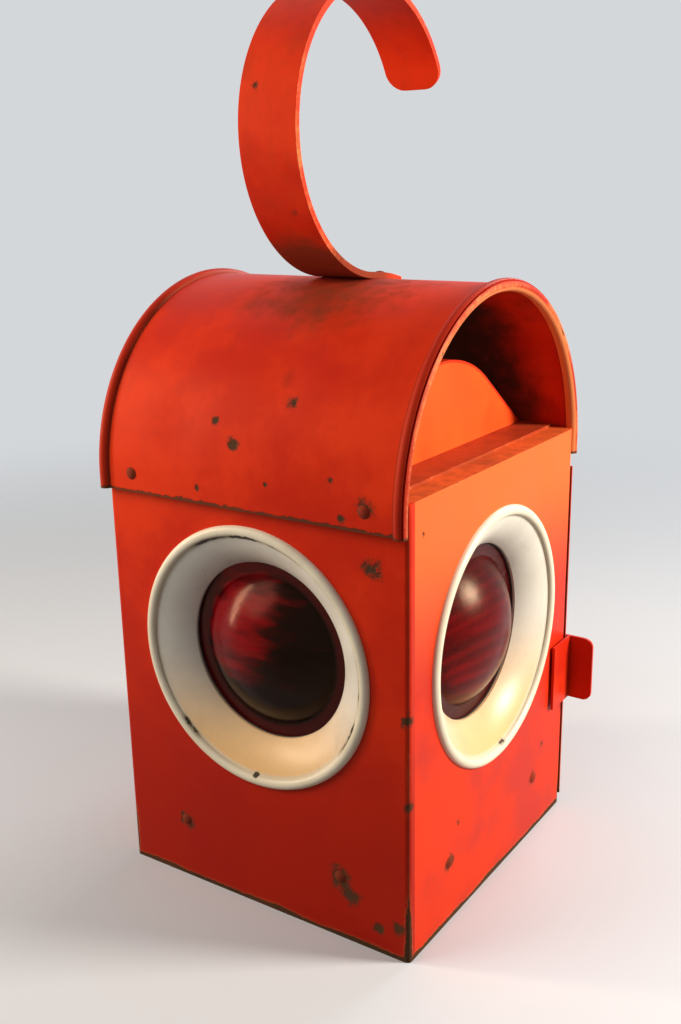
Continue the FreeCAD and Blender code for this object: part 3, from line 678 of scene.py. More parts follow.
    def soot_share(self, graph: Surface, wear: PaintWear) -> Signal:
        """How much soot covers the inside of a piece.

        Args:
            graph: The material's graph.
            wear: How the piece has worn.

        Returns:
            The share of soot.
        """
        if wear.soot is Soot.NONE:
            return 0.0
        x, y, z = graph.axes(graph.place)
        out = graph.math("ABSOLUTE", x)
        cloud = graph.noise(graph.place, 34.0, 5.0, 0.6)
        if wear.soot is Soot.HOUSE:
            widest = graph.most(out, graph.math("ABSOLUTE", y))
            inside = graph.times(self.behind(graph, widest, wear.high.x - 0.7 * MM),
                                 self.behind(graph, z, wear.high.z - 0.8 * MM))
            return graph.times(inside, graph.rise(cloud, 0.2, 0.7, 0.70, 0.95))
        if wear.soot is Soot.DOOR:
            inside = self.behind(graph, y, wear.high.y - 0.8 * MM)
            return graph.times(inside, graph.rise(cloud, 0.2, 0.7, 0.65, 0.92))
        if wear.soot is Soot.ROOF:
            middle = graph.rise(out, wear.high.x - 15 * MM, wear.high.x - 1 * MM, 1.0, 0.1)
            return graph.times(middle, graph.rise(cloud, 0.3, 0.7, 0.2, 0.9))
        axis, radius = wear.barrel
        away = self.barrel_radius(graph, axis)
        inside = graph.rise(away, radius + 0.3 * MM, radius + 0.6 * MM, 1.0, 0.0)
        middle = graph.rise(out, 20 * MM, 68 * MM, 0.32, -0.14)
        stain = graph.rise(graph.plus(cloud, middle), 0.30, 0.80, 0.10, 0.96)
        plate = graph.rise(out, wear.band - 0.5 * MM, wear.band + 0.5 * MM, 1.0, 0.15)
        return graph.times(graph.times(inside, stain), plate)

    def behind(self, graph: Surface, value: Socket, face: float) -> Socket:
        """One up to the inner face of a sheet, and nothing past the soot's fringe."""
        return graph.rise(value, face, face + self.fringe, 1.0, 0.0)


@dataclass(frozen=True)
class WhiteEnamel:
    """Cream vitreous enamel, chipped to black in places along the crease inside the lip.

    Attributes:
        effects: The shared effects.
        lip_inner: The radius of the crease.
        centre_height: The height of the dish's axis.
        cream: The lip's colour.
        grey: The bowl's colour.
        tan: The warm light painted low in the bowl.
        dirt: The dirt's colour.
        bare: The colour of the sheet under the chips.
        depth: How deep the chips go.
    """

    effects: Effects
    lip_inner: float
    centre_height: float
    cream: tuple = (0.88, 0.80, 0.62, 1)
    grey: tuple = (0.88, 0.86, 0.80, 1)
    tan: tuple = (0.88, 0.52, 0.20, 1)
    dirt: tuple = (0.26, 0.18, 0.09, 1)
    bare: tuple = (0.046, 0.034, 0.020, 1)
    depth: float = 0.5 * MM

    def material(self, side: Side) -> bpy.types.Material:
        """Fire the enamel for one side's dish.

        Args:
            side: The side that the dish looks to.

        Returns:
            The material.
        """
        graph = Surface("enamel_" + side.value)
        flat = graph.stretched(graph.place, tuple(side.across))
        radius = graph.distance(flat, (0.0, 0.0, self.centre_height))
        offset = graph.minus(radius, self.lip_inner)
        crease = graph.math("ABSOLUTE", offset)
        tone = graph.effect(self.effects.mottle, {"Scale": 22.0})["Value"]
        bowl = graph.rise(offset, -1.5 * MM, 0.5 * MM, 1.0, 0.0)
        height = graph.minus(graph.height, self.centre_height)
        # painted light: a warm pool of light low in the bowl, full at the bottom and gone just above its
        # middle
        warm_lit_low = graph.times(graph.rise(height, -48 * MM, 2 * MM, 0.95, 0.0), bowl)
        colour = graph.blend(graph.times(bowl, 0.75), self.cream, self.grey)
        colour = graph.blend(warm_lit_low, colour, self.tan)
        colour = graph.blend(graph.times(tone, 0.16), colour, self.dirt)
        film = graph.effect(self.effects.grime, {"Scale": 90.0, "Amount": 0.09})["Dirt"]
        colour = graph.blend(graph.times(film, 0.7), colour, self.dirt)
        patch = self.patches(graph, flat, side)
        line = graph.rise(crease, 0.1 * MM, 1.3 * MM, 0.75, 0.10)
        stain = graph.times(line, graph.rise(patch, 0.0, 1.0, 0.3, 1.0))
        colour = graph.blend(stain, colour, self.dirt)
        amount = graph.rise(patch, 0.0, 1.0, -0.65, 0.24)
        ends = {"Distance": crease, "Reach": 2.6 * MM, "Amount": amount}
        bare = graph.effect(self.effects.wear, ends)["Bare"]
        scattered = graph.effect(self.effects.scatter, {"Scale": 60.0, "Share": 0.05})["Bare"]
        bare = graph.most(bare, graph.times(scattered, 0.7))
        colour = graph.blend(bare, colour, self.bare)
        graph.give("Base Color", colour)
        dull = graph.most(film, bare)
        graph.give("Roughness", graph.rise(dull, 0.0, 1.0, 0.38, 0.66))
        marks = graph.effect(self.effects.texture, {"Fine": 0.03, "Dent": 0.25})["Height"]
        graph.bump(graph.minus(marks, graph.times(bare, 0.5)), self.depth)
        return graph.material

    def worn(self, side: Side) -> tuple:
        """The worn stretches of one side's crease.

        Args:
            side: The side that the dish looks to.

        Returns:
            Each stretch's turn from the right and its half length, in degrees.
        """
        if side is Side.FRONT:
            return (112, 14), (92, 12), (70, 12), (44, 10), (4, 16), (-26, 12), (-90, 2), (-132, 8)
        if side is Side.RIGHT:
            return (128, 6), (-84, 3)
        return (96, 12), (28, 9), (-18, 8), (-75, 7), (-140, 10), (170, 6)

    def patches(self, graph: Surface, flat: Socket, side: Side) -> Socket:
        """Where the crease is worn.

        Args:
            graph: The material's graph.
            flat: The point laid flat into the plane of the dish.
            side: The side that the dish looks to.

        Returns:
            One in the middle of each worn stretch, falling to nothing past its ends.
        """
        worn: Signal = 0.0
        for turn, half in self.worn(side):
            angle = math.radians(turn)
            lift = math.sin(angle) * self.lip_inner
            centre = side.point(math.cos(angle) * self.lip_inner, self.centre_height + lift)
            away = graph.distance(flat, centre)
            reach = math.radians(half) * self.lip_inner
            worn = graph.most(worn, graph.rise(away, 0.4 * reach, 1.2 * reach, 1.0, 0.0))
        return worn


@dataclass(frozen=True)
class RubyGlass:
    """Deep ruby pressed glass inside a maroon flange: a dark dome with light painted into it as red streaks
    and a red glow, softer on the hazed lens.

    Attributes:
        effects: The shared effects.
        dome: The dome's radius.
        centre_height: The height of the lens's axis.
        ruby: The red painted into the dome where light would glow through it.
        dark: The dome's colour between them, painted shade.
        flange: The flange's colour.
        glint: The tint of its reflections.
        index: Its refractive index, low so that the pale studio doesn't veil the dome.
        clear: How much of the light goes through.
        streaked: Where the painted red starts, where it is full, and how full it is, in a streaked lens.
        clouded: The same in the hazed lens, whose painted streaks are faint.
        polish: The roughness of a clean lens and of a dirty one.
        haze: The same for the hazed lens.
        hazed_index: The hazed lens's refractive index.
    """

    effects: Effects
    dome: float
    centre_height: float
    ruby: tuple = (0.74, 0.003, 0.016, 1)
    dark: tuple = (0.020, 0.0003, 0.0008, 1)
    flange: tuple = (0.20, 0.004, 0.008, 1)
    glint: tuple = (1.0, 0.72, 0.46, 1)
    index: float = 1.22
    clear: float = 0.80
    streaked: tuple = (0.38, 0.72, 1.0)
    clouded: tuple = (-0.2, 1.4, 0.72)
    polish: tuple = (0.19, 0.32)
    haze: tuple = (0.27, 0.36)
    hazed_index: float = 1.25

    def material(self, side: Side) -> bpy.types.Material:
        """Melt the glass for one side's lens.

        Args:
            side: The side that the lens looks to.

        Returns:
            The material.
        """
        graph = Surface("ruby_glass_" + side.value)
        flat = graph.stretched(graph.place, tuple(side.across))
        radius = graph.distance(flat, (0.0, 0.0, self.centre_height))
        # painted light: red streaks stand in for the lit ribs seen through the dome
        lit_rib_streaks = graph.noise(graph.stretched(graph.place, (1.0, 1.0, 4.0)), 38.0, 3.0, 0.55)
        # painted light: the dome is painted red about a glow's middle and dark elsewhere, for light passing
        # through the glass
        middle, spread = self.painted_glow(side)
        away = graph.distance(flat, middle)
        painted_glow_share = graph.plus(lit_rib_streaks, graph.rise(away, 0.15 * spread, spread, 0.24, -0.24))
        hazed = side is Side.RIGHT
        start, end, top = self.clouded if hazed else self.streaked
        colour = graph.blend(graph.rise(painted_glow_share, start, end, 0.0, top), self.dark, self.ruby)
        ring = graph.rise(radius, self.dome, self.dome + 1.5 * MM)
        graph.give("Base Color", graph.blend(ring, colour, self.flange))
        graph.give("Transmission Weight", self.clear)
        graph.give("IOR", self.hazed_index if hazed else self.index)
        graph.give("Specular Tint", self.glint)
        film = graph.effect(self.effects.grime, {"Scale": 60.0, "Amount": 0.08})["Dirt"]
        smooth, rough = self.haze if hazed else self.polish
        graph.give("Roughness", graph.rise(film, 0.0, 1.0, smooth, rough))
        ripple = graph.noise(graph.place, 120.0, 2.0, 0.5)
        graph.bump(ripple, 0.12 * MM)
        return graph.material

    def painted_glow(self, side: Side) -> tuple[tuple, float]:
        """Where one side's dome is painted red, as light glowing through the glass.

        Args:
            side: The side that the lens looks to.

        Returns:
            The middle of the painted red, and how far it spreads.
        """
        shares = {Side.FRONT: (-0.32, 0.42, 1.1), Side.RIGHT: (0.3, -0.2, 1.6), Side.LEFT: (0.2, 0.4, 1.3)}
        wide, high, spread = shares[side]
        middle = side.point(wide * self.dome, self.centre_height + high * self.dome)
        return middle, spread * self.dome


@dataclass(frozen=True)
class AgedMetal:
    """A bare metal with tarnish, pits and dust.

    Attributes:
        effects: The shared effects.
        name: The metal's name.
        bright: Its colour where it is clean.
        tarnish: Its colour where it is tarnished.
        polish: The roughness of the clean metal.
        tarnished: How far the tarnish has spread.
        dulled: How metallic the tarnish still is.
    """

    effects: Effects
    name: str
    bright: tuple
    tarnish: tuple
    polish: float
    tarnished: float
    dulled: float = 0.45

    def material(self) -> bpy.types.Material:
        """Age the metal.

        Returns:
            The material.
        """
        graph = Surface(self.name)
        tone = graph.effect(self.effects.mottle, {"Scale": 45.0})["Value"]
        dull = {"Scale": 70.0, "Amount": self.tarnished}
        dirt = graph.effect(self.effects.grime, dull)["Dirt"]
        share = graph.most(dirt, graph.times(tone, 0.35))
        graph.give("Base Color", graph.blend(share, self.bright, self.tarnish))
        graph.give("Metallic", graph.rise(share, 0.3, 1.0, 1.0, self.dulled))
        graph.give("Roughness", graph.rise(share, 0.0, 1.0, self.polish, 0.68))
        marks = graph.effect(self.effects.texture, {"Fine": 0.12, "Dent": 0.25})["Height"]
        graph.bump(graph.plus(marks, graph.times(dirt, 0.1)), 0.3 * MM)
        return graph.material


@dataclass(frozen=True)
class SealRubber:
    """Perished black rubber."""

    effects: Effects
    black: tuple = (0.022, 0.020, 0.019, 1)
    bloom: tuple = (0.085, 0.075, 0.068, 1)

    def material(self) -> bpy.types.Material:
        """Mould the rubber.

        Returns:
            The material.
        """
        graph = Surface("seal_rubber")
        tone = graph.effect(self.effects.mottle, {"Scale": 90.0})["Value"]
        graph.give("Base Color", graph.blend(tone, self.black, self.bloom))
        graph.give("Roughness", graph.rise(tone, 0.0, 1.0, 0.62, 0.85))
        graph.bump(graph.noise(graph.place, 1500.0, 3.0, 0.6), 0.1 * MM)
        return graph.material


@dataclass(frozen=True)
class WickCotton:
    """Woven cotton, charred at the top and dark with oil lower down."""

    effects: Effects
    top: float
    cotton: tuple = (0.62, 0.54, 0.38, 1)
    oiled: tuple = (0.30, 0.23, 0.12, 1)
    char: tuple = (0.014, 0.011, 0.009, 1)
    burnt: float = 5.0 * MM

    def material(self) -> bpy.types.Material:
        """Weave the wick.

        Returns:
            The material.
        """
        graph = Surface("wick_cotton")
        tone = graph.effect(self.effects.mottle, {"Scale": 150.0})["Value"]
        colour = graph.blend(tone, self.oiled, self.cotton)
        ragged = graph.plus(graph.height, graph.times(tone, 2 * MM))
        charred = graph.rise(ragged, self.top - self.burnt, self.top - 0.3 * self.burnt)
        graph.give("Base Color", graph.blend(charred, colour, self.char))
        graph.give("Roughness", graph.rise(tone, 0.0, 1.0, 0.85, 0.95))
        threads = {"Vector": graph.place, "Scale": 190.0, "Distortion": 1.5}
        weave = graph.node("TexWave", threads, bands_direction="Z")
        graph.bump(weave.outputs["Fac"], 0.25 * MM)
        return graph.material


class Bench:
    """One mesh on the bench, modelled with operators in edit mode."""

    SEED = 1 * MM
    WELD = 0.002 * MM
    DENT_CORE = 3 * MM

    def __init__(self, name: str) -> None:
        """Start a piece from a small plane drawn together into one point at the origin.

        Args:
            name: The piece's name.
        """
        bpy.ops.object.select_all(action="DESELECT")
        bpy.ops.mesh.primitive_plane_add(size=self.SEED)
        self.piece = bpy.context.object
        self.piece.name = name
        self.piece.data.name = name
        bpy.ops.object.mode_set(mode="EDIT")
        bpy.ops.mesh.select_mode(type="VERT")
        bpy.ops.mesh.select_all(action="SELECT")
        bpy.ops.mesh.merge(type="CENTER")

    def trace(self, points: Sequence[Vector]) -> None:
        """Draw a closed outline, point by point.

        Args:
            points: Its points in order, without the first again at the end.
        """
        bpy.ops.transform.translate(value=points[0])
        for start, end in zip(points, points[1:]):
            bpy.ops.mesh.extrude_vertices_move(TRANSFORM_OT_translate={"value": end - start})
        self.select(lambda at: (at - points[0]).length < CLOSE or (at - points[-1]).length < CLOSE)
        bpy.ops.mesh.edge_face_add()
        bpy.ops.mesh.select_all(action="SELECT")

    def select(self, test: Callable[[Vector], bool]) -> None:
        """Select the points that pass a test, and the edges and faces between them.

        Args:
            test: Whether a point at a place is selected.
        """
        bpy.ops.mesh.select_all(action="DESELECT")
        mesh = bmesh.from_edit_mesh(self.piece.data)
        for point in mesh.verts:
            point.select_set(test(point.co))
        mesh.select_flush(True)
        bmesh.update_edit_mesh(self.piece.data)

    def spin(self, angle: float, steps: int, centre: Vector, axis: Vector) -> None:
        """Sweep the selected outline round an axis."""
        bpy.ops.mesh.spin(steps=steps, angle=angle, center=centre, axis=axis)

    def push(self, way: Vector) -> None:
        """Extrude the selected outline along a way."""
        bpy.ops.mesh.extrude_region_move(TRANSFORM_OT_translate={"value": way})

    def dent(self, at: Vector, way: Vector, reach: float) -> None:
        """Knock a soft dent into the sheet about a place."""
        self.select(lambda point: (point - at).length < self.DENT_CORE)
        bpy.ops.transform.translate(value=way, use_proportional_edit=True, proportional_size=reach,
                                    proportional_edit_falloff="SMOOTH")

    def weld(self) -> None:
        """Join the points that lie in the same place."""
        bpy.ops.mesh.select_all(action="SELECT")
        bpy.ops.mesh.remove_doubles(threshold=self.WELD)

    def finish(self, crease: float) -> bpy.types.Object:
        """Close the mesh, turn its faces outwards and smooth it below a crease angle.

        Args:
            crease: The angle past which an edge stays sharp.

        Returns:
            The finished piece.
        """
        self.weld()
        bpy.ops.mesh.normals_make_consistent(inside=False)
        bpy.ops.object.mode_set(mode="OBJECT")
        bpy.ops.object.shade_smooth_by_angle(angle=crease)
        return self.piece


def round_edges(piece: bpy.types.Object, width: float, segments: int) -> None:
    """Round a piece's sharp edges with an applied bevel.

    Args:
        piece: The piece to round.
        width: How far the rounding reaches from an edge.
        segments: The number of faces across it.
    """
    bpy.context.view_layer.objects.active = piece
    bevel = piece.modifiers.new("rounding", "BEVEL")
    bevel.width = width
    bevel.segments = segments
    bevel.limit_method = "ANGLE"
    bpy.ops.object.modifier_apply(modifier=bevel.name)


def turned_copy(piece: bpy.types.Object, name: str, turn: float) -> bpy.types.Object:
    """Copy a piece with its own mesh, turned about the upright axis.

    Args:
        piece: The piece to copy.
        name: The copy's name.
        turn: The turn in radians.

    Returns:
        The copy, with its turn in its mesh.
    """
    copy = piece.copy()
    copy.data = piece.data.copy()
    copy.name = name
    copy.data.name = name
    bpy.context.collection.objects.link(copy)
    bpy.ops.object.select_all(action="DESELECT")
    copy.select_set(True)
    bpy.context.view_layer.objects.active = copy
    copy.rotation_euler = (0, 0, turn)
    bpy.ops.object.transform_apply(location=True, rotation=True, scale=True)
    return copy


def wear_material(piece: bpy.types.Object, material: bpy.types.Material) -> None:
    """Give a piece one finish all over.

    Args:
        piece: The piece to finish.
        material: Its finish.
    """
    if not piece.material_slots:
        piece.data.materials.append(material)
    for slot in piece.material_slots:
        slot.material = material


def arc(centre: Vector, first: Vector, second: Vector, start: float, end: float, steps: int) -> list[Vector]:
    """Points along an arc.

    Args:
        centre: The arc's centre.
        first: The radius at angle zero.
        second: The radius at a quarter turn.
        start: The first angle in radians.
        end: The last angle in radians.
        steps: The number of spans.

    Returns:
        One more point than spans.
    """
    angles = [start + (end - start) * index / steps for index in range(steps + 1)]
    return [centre + first * math.cos(angle) + second * math.sin(angle) for angle in angles]


def line(start: Vector, end: Vector, steps: int) -> list[Vector]:
    """Evenly spaced points from one place to another, both included."""
    return [start.lerp(end, index / steps) for index in range(steps + 1)]


@dataclass
class Hood:
    """The half-barrel weather hood with a rolled edge at each end."""

    paint: OrangePaint
    sheet: float = 1.0 * MM
    roll: float = 2.5 * MM
    groove: float = 0.8 * MM
    groove_angle: float = math.radians(47)
    plate_spans: int = 30
    barrel_steps: int = 108
    crease: float = math.radians(50)
    low: Vector = field(init=False)
    high: Vector = field(init=False)
    middle: float = field(init=False)
    axis: float = field(init=False)
    outer: float = field(init=False)

    def __post_init__(self) -> None:
        """Read the hood's place from the frame."""
        self.low, self.high = corners("hood")
        self.middle = self.high.y - self.roll
        self.axis = self.high.z - self.high.y
        self.outer = self.middle + self.sheet / 2

    def half_bead(self, way: int) -> list[Vector]:
        """The rolled edge at one end, from the plate's outer face round to its inner face.

        Args:
            way: 1 for the right-hand end and -1 for the left.

        Returns:
            The outline's points, with the groove where the roll closes.
        """
        centre = Vector((way * (self.high.x - self.roll), -self.middle, self.axis))
        out = Vector((0, -self.roll, 0))
        side = Vector((way * self.roll, 0, 0))
        join = math.asin(self.sheet / 2 / self.roll)
        start = join - math.pi / 2
        end = 3 * math.pi / 2 - join
        half = self.groove / 2 / self.roll
        first = arc(centre, out, side, start, self.groove_angle - half, 9)
        deep = 1 - 1.3 * self.groove / self.roll
        bottom = centre + (out * math.cos(self.groove_angle) + side * math.sin(self.groove_angle)) * deep
        return first + [bottom] + arc(centre, out, side, self.groove_angle + half, end, 16)

    def outline(self) -> list[Vector]:
        """The closed section of the sheet with both rolled edges.

        Returns:
            The outline's points.
        """
        right = self.half_bead(1)
        left = self.half_bead(-1)[::-1]
        under = line(right[-1], left[0], self.plate_spans)
        over = line(left[-1], right[0], self.plate_spans)
        return right + under[1:-1] + left + over[1:-1]

    def build(self) -> bpy.types.Object:
        """Roll the hood.

        Returns:
            The hood, riding on the house.
        """
        bench = Bench("rolled_hood")
        bench.trace(self.outline())
        bench.spin(math.pi, self.barrel_steps, Vector((0, 0, self.axis)), Vector((1, 0, 0)))
        bench.select(lambda at: at.z < self.axis + CLOSE)
        bench.push(Vector((0, 0, self.low.z - self.axis)))
        for way in (-1, 1):
            bench.select(lambda at: at.z < self.low.z + CLOSE and at.y * way > 0)
            bpy.ops.mesh.edge_face_add()
        for x, turn, depth, reach in self.dents():
            out = Vector((0, math.sin(turn), math.cos(turn)))
            at = Vector((x, 0, self.axis)) + out * self.outer
            bench.dent(at, -out * depth, reach)
        piece = bench.finish(self.crease)
        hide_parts("hood")
        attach(piece, "house")
        return piece

    def dents(self) -> list[tuple[float, float, float, float]]:
        """The dents in the barrel.

        Returns:
            Each dent's place along the barrel, its turn from upright in radians, its depth and its reach.
        """
        rows = ((12, -0.95, 0.5, 16), (-30, -1.25, 0.4, 18), (38, -1.45, 0.45, 13), (-22, -0.45, 0.5, 20),
                (30, 0.70, 0.6, 19), (-34, 1.15, 0.5, 17))
        return [(x * MM, turn, depth * MM, reach * MM) for x, turn, depth, reach in rows]

    def dress(self, piece: bpy.types.Object) -> None:
        """Paint the hood.

        Args:
            piece: The hood.
        """
        # a darker patch on the crown about the hook's root: dirt and painted shade
        crown = (Vector((8 * MM, -18 * MM, self.high.z - 3 * MM)), 60 * MM, 0.46)
        chips = (
            Chip(18.9, -64.2, 210.4, 2.2), Chip(-3.7, -71.0, 193.4, 2.6), Chip(-13.8, -68.6, 201.0, 1.6),
            Chip(54.7, -73.4, 178.6, 3.2), Chip(-20.5, -73.4, 175.7, 1.4), Chip(44.8, -73.4, 172.7, 1.7),
            Chip(12.0, -73.2, 181.0, 1.0), Chip(40.0, -72.6, 186.0, 1.2), Chip(-30.0, 72.0, 190.0, 2.6),
            Chip(22.0, 69.0, 200.0, 2.0), Chip(48.0, 73.4, 176.0, 2.2), Chip(-8.0, 58.4, 219.3, 1.8),
        )
        low = Vector((self.low.x, FAR, self.low.z))
        high = Vector((self.high.x, -FAR, FAR))
        barrel = (self.axis, self.middle - self.sheet / 2)
        wear = PaintWear("hood", low, high, bare=-0.12, rubbed=0.85, reach=1.6 * MM, dent=0.35,
                         soot=Soot.HOOD, grime=0.03, hem=1.2 * MM, barrel=barrel,
                         band=self.high.x - 2 * self.roll, crown=crown, chips=chips)
        wear_material(piece, self.paint.material(wear))


@dataclass
class Hook:
    """The strap hook: a foot along the hood's crown and a round open hook."""

    paint: OrangePaint
    hood: Hood
    strap: float = 2.5 * MM
    lean: float = math.radians(2.4)
    tip_turn: float = math.radians(69)
    tip_round: float = 8.0 * MM
    tip_length: float = 8.6 * MM
    tip_steps: int = 8
    rounding: float = 0.45 * MM
    foot_margin: float = 5.0 * MM
    foot_steps: int = 10
    ring_steps: int = 110
    crease: float = math.radians(40)
    low: Vector = field(init=False)
    high: Vector = field(init=False)
    half: float = field(init=False)
    radius: float = field(init=False)
    centre: Vector = field(init=False)

    def __post_init__(self) -> None:
        """Read the hook's place from the frame."""
        self.low, self.high = corners("hook")
        self.half = self.high.x
        level = math.cos(self.lean)
        self.radius = (self.high.z - self.hood.axis - self.hood.outer * level) / (1 + level)
        self.centre = self.at(self.hood.outer + self.radius, self.lean)

    def at(self, reach: float, turn: float) -> Vector:
        """A point about the hood's axis, by its turn from upright towards the rear."""
        return Vector((0, reach * math.sin(turn), self.hood.axis + reach * math.cos(turn)))

    def foot_end(self) -> float:
        """The turn about the hood's axis at which the foot ends, behind its rivets."""
        edge = corners("hook_rivets")[1].y + self.foot_margin
        return math.asin(edge / (self.hood.outer + self.strap))

    def build(self) -> bpy.types.Object:
        """Bend the strap.

        Returns:
            The hook, riding on the house.
        """
        bench = Bench("strap_hook")
        over = self.at(self.hood.outer + self.strap, self.lean)
        under = self.at(self.hood.outer, self.lean)
        wide = Vector((self.half, 0, 0))
        bench.trace([under - wide, over - wide, over + wide, under + wide])
        axis = Vector((1, 0, 0))
        hood_centre = Vector((0, 0, self.hood.axis))
        along = Vector((0, math.cos(self.lean), -math.sin(self.lean)))
        bench.spin(self.foot_end() - self.lean, self.foot_steps, hood_centre, axis)
        bpy.ops.mesh.edge_face_add()
        bench.select(lambda at: abs((at - hood_centre).dot(along)) < CLOSE)
        ring = math.pi - self.lean + self.tip_turn - self.tip_length / self.radius
        bench.spin(ring, self.ring_steps, self.centre, axis)
        self.draw_tip(bench)
        piece = bench.finish(self.crease)
        round_edges(piece, self.rounding, 3)
        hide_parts("hook")
        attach(piece, "house")
        return piece

    def draw_tip(self, bench: Bench) -> None:
        """Draw the strap's free end out in steps that narrow along a quarter round, and close it.

        Args:
            bench: The bench with the end's outline selected.
        """
        chord = self.tip_turn - self.tip_length / self.radius / 2
        ahead = Vector((0, math.cos(chord), -math.sin(chord)))
        bench.push(ahead * (self.tip_length - self.tip_round))
        reach = 0.0
        width = self.half
        for step in range(1, self.tip_steps + 1):
            turn = math.pi / 2 * step / self.tip_steps
            next_reach = self.tip_round * math.sin(turn)
            next_width = self.half - self.tip_round * (1 - math.cos(turn))
            bench.push(ahead * (next_reach - reach))
            bpy.ops.transform.resize(value=(next_width / width, 1, 1))
            reach = next_reach
            width = next_width
        bpy.ops.mesh.edge_face_add()

    def dress(self, piece: bpy.types.Object) -> None:
        """Paint the hook, with its long edges worn and a darker patch about its root: dirt and painted
        shade.

        Args:
            piece: The hook.
        """
        low = Vector((self.low.x, FAR, -FAR))
        high = Vector((self.high.x, -FAR, FAR))
        chips = (Chip(-6.0, -48.0, 318.0, 1.6), Chip(5.0, -40.0, 276.0, 2.0), Chip(2.0, 38.0, 340.0, 1.8))
        # a dark patch where the hook leaves the hood: dirt and painted shade
        root = self.at(self.hood.outer + 2 * self.strap, self.lean) - Vector((0, 12 * MM, 0))
        wear = PaintWear("hook", low, high, bare=-0.25, rubbed=0.9, reach=1.5 * MM, grime=0.16,
                         crown=(root, 36 * MM, 1.2), chips=chips)
        wear_material(piece, self.paint.material(wear))


